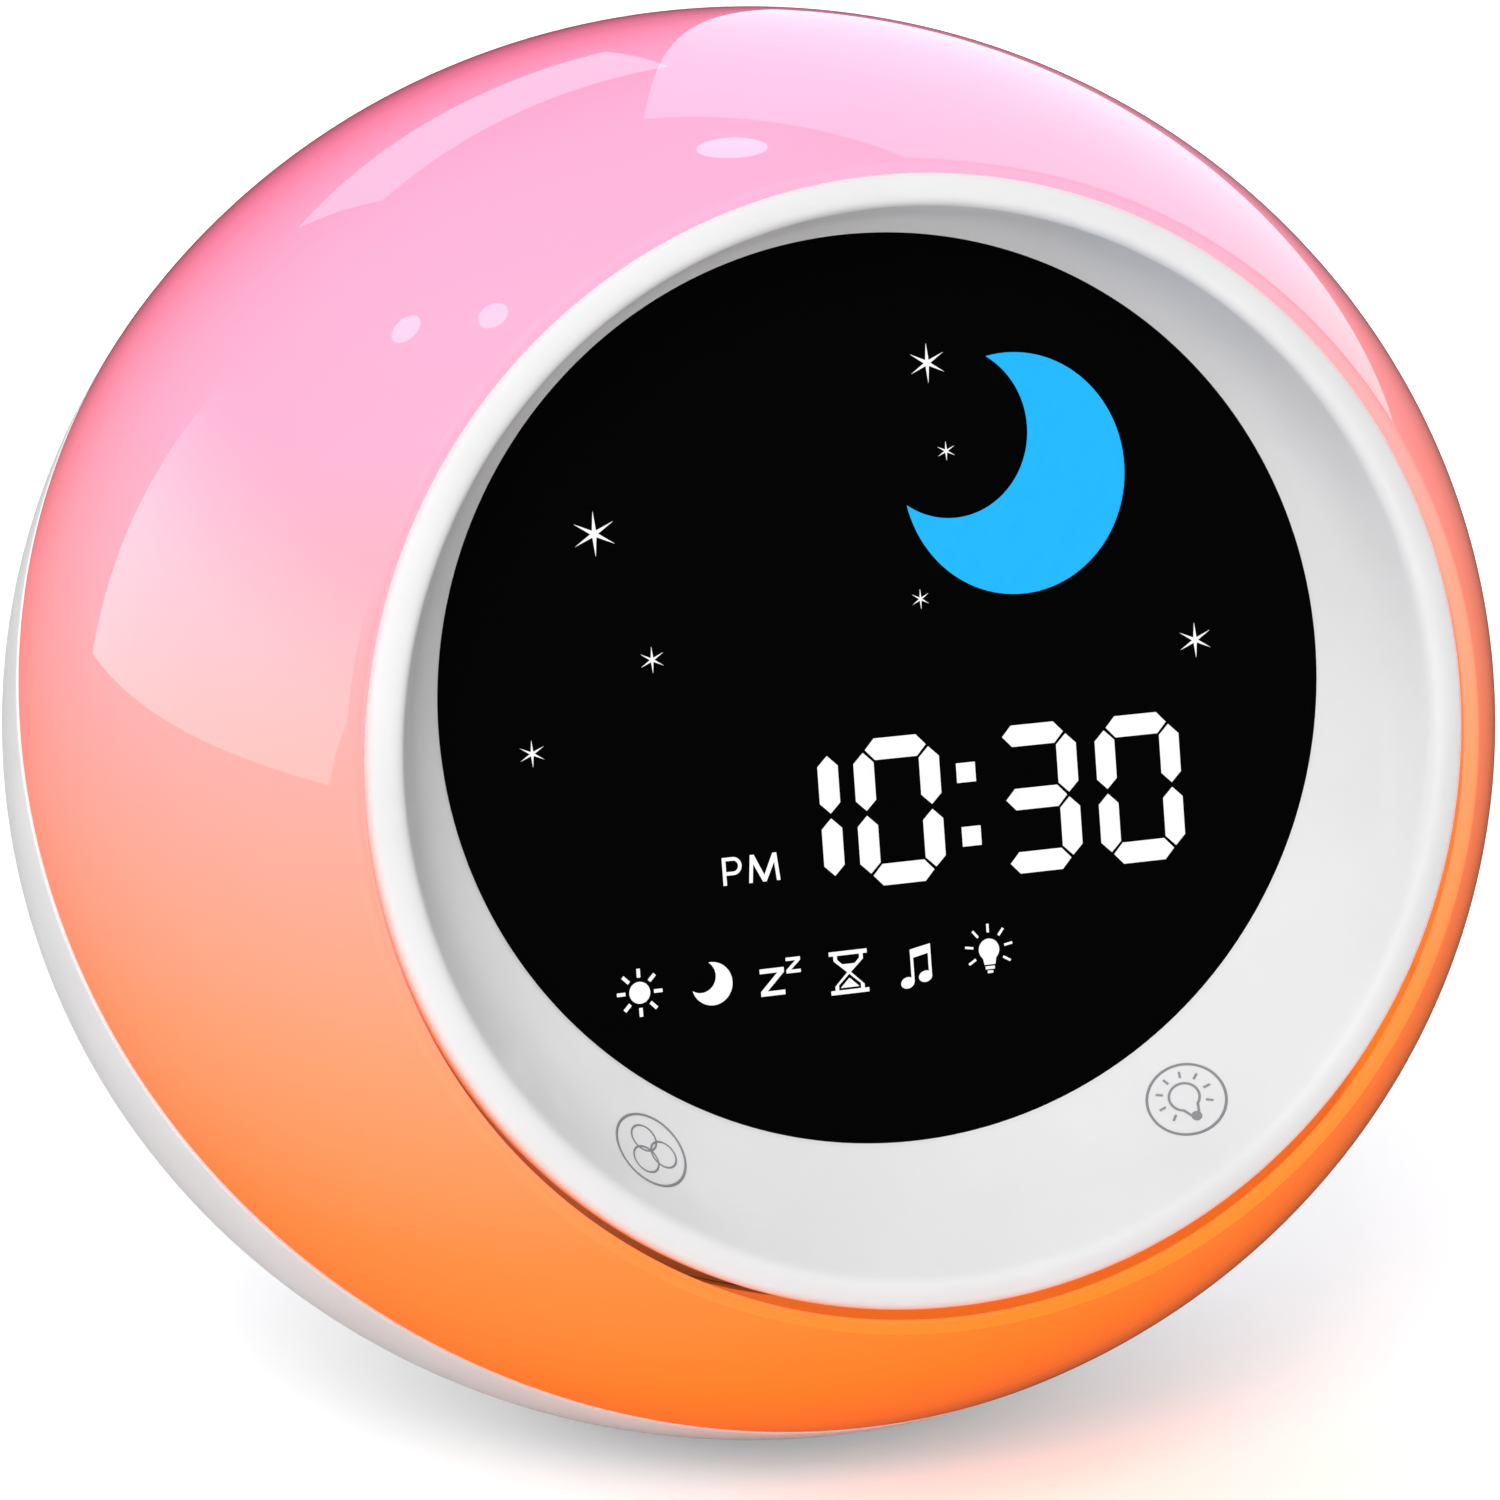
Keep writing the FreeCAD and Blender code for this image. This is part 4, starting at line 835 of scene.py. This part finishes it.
link(nt, tc.outputs["Object"], flen.inputs[0])
ffar = nt.nodes.new("ShaderNodeMapRange"); ffar.interpolation_type = "SMOOTHSTEP"
ffar.inputs["From Min"].default_value = 0.12; ffar.inputs["From Max"].default_value = 0.70
ffar.inputs["To Min"].default_value = 0.30; ffar.inputs["To Max"].default_value = 0.85
link(nt, flen.outputs["Value"], ffar.inputs["Value"])
link(nt, ffar.outputs["Result"], fmr.inputs["To Max"])
link(nt, flp.outputs["Is Camera Ray"], fmr.inputs["Value"])
link(nt, fmr.outputs["Result"], p.inputs["Emission Strength"])
me = bpy.data.meshes.new("floor_sheet")
bm = bmesh.new(); bmesh.ops.create_grid(bm, x_segments=8, y_segments=8, size=6.0); bm.to_mesh(me); bm.free()
floor = bpy.data.objects.new("floor_sheet", me); bpy.context.scene.collection.objects.link(floor)
me.materials.append(fm)

world = bpy.data.worlds.new("studio"); bpy.context.scene.world = world
world.use_nodes = True
wn = world.node_tree
bg = wn.nodes["Background"]
bg.inputs["Color"].default_value = (1, 1, 1, 1)
lp = wn.nodes.new("ShaderNodeLightPath")
mr = wn.nodes.new("ShaderNodeMapRange")
mr.inputs["To Min"].default_value = 0.36                  # sky light on the scene
mr.inputs["To Max"].default_value = 0.045                 # what the gloss sees between the softboxes
link(wn, lp.outputs["Is Glossy Ray"], mr.inputs["Value"])
cam_mix = wn.nodes.new("ShaderNodeMapRange")              # the plain white backdrop itself
cam_mix.inputs["To Max"].default_value = 1.1
link(wn, lp.outputs["Is Camera Ray"], cam_mix.inputs["Value"])
link(wn, mr.outputs["Result"], cam_mix.inputs["To Min"])
link(wn, cam_mix.outputs["Result"], bg.inputs["Strength"])
floor.visible_glossy = False

CAMLOC = Vector((-0.18413, -0.46804, 0.19487))


def towards(az, el, dist):
    a, e = math.radians(az), math.radians(el)
    return C + Vector((math.sin(a) * math.cos(e), -math.cos(a) * math.cos(e), math.sin(e))) * dist


def softbox(name, az, el, dist, wide, high, radiance, col=(1, 1, 1), seen=True, roll=0.0):
    o = area(name, towards(az, el, dist), C, wide, high, radiance * math.pi * wide * high, col)
    if roll:
        o.rotation_quaternion = o.rotation_quaternion @ Matrix.Rotation(math.radians(roll), 3, "Z").to_quaternion()
    o.visible_glossy = seen
    o.visible_camera = False
    return o


softbox("band_right", 138, 33, 0.75, 0.60, 0.74, 1.35, (0.90, 0.90, 1.0))
softbox("band_back", -178, 35, 0.75, 0.34, 0.15, 1.2, (0.98, 0.95, 1.0))
wall_l = softbox("wall_left", -110, 17, 0.80, 0.84, 0.48, 2.3)
wall_l.data.use_nodes = True                              # fades out towards its top
ln = wall_l.data.node_tree
em = ln.nodes["Emission"]
geo = ln.nodes.new("ShaderNodeNewGeometry")
sp = ln.nodes.new("ShaderNodeSeparateXYZ")
link(ln, geo.outputs["Parametric"], sp.inputs["Vector"])
fade = ln.nodes.new("ShaderNodeMapRange"); fade.interpolation_type = "SMOOTHSTEP"
fade.inputs["From Min"].default_value = 1.0; fade.inputs["From Max"].default_value = 0.35
link(ln, sp.outputs["Y"], fade.inputs["Value"])
link(ln, fade.outputs["Result"], em.inputs["Strength"])
for nm, az_d, el_d, w_d, h_d, l_d in (("spot_a", 162, 65, 0.09, 0.07, 3.5), ("spot_b", -113, 61, 0.06, 0.05, 4), ("spot_c", -122, 51, 0.06, 0.05, 4)):
    sp_o = softbox(nm, az_d, el_d, 0.8, w_d, h_d, l_d * math.pi / 4)
    sp_o.data.shape = "ELLIPSE"
softbox("top_fill", 0, 85, 1.2, 1.2, 1.2, 0.5, seen=False)
softbox("key", -28, 42, 1.2, 0.5, 0.5, 9.4, seen=False)

psi, ele = math.radians(-21.49), math.radians(15.0)
bvec = Vector((math.sin(psi) * math.cos(ele), -math.cos(psi) * math.cos(ele), math.sin(ele)))
rvec = Vector((math.cos(psi), math.sin(psi), 0)); uvec = bvec.cross(rvec)
cam_d = bpy.data.cameras.new("cam"); cam_d.lens = 136.1; cam_d.sensor_width = 36.0
cam = bpy.data.objects.new("cam", cam_d); bpy.context.scene.collection.objects.link(cam)
cam.matrix_world = Matrix(((rvec.x, uvec.x, bvec.x, CAMLOC.x), (rvec.y, uvec.y, bvec.y, CAMLOC.y), (rvec.z, uvec.z, bvec.z, CAMLOC.z), (0, 0, 0, 1)))
cam_d.clip_start, cam_d.clip_end = 0.01, 50
bpy.context.scene.camera = cam
bpy.context.scene.view_settings.view_transform = "Standard"
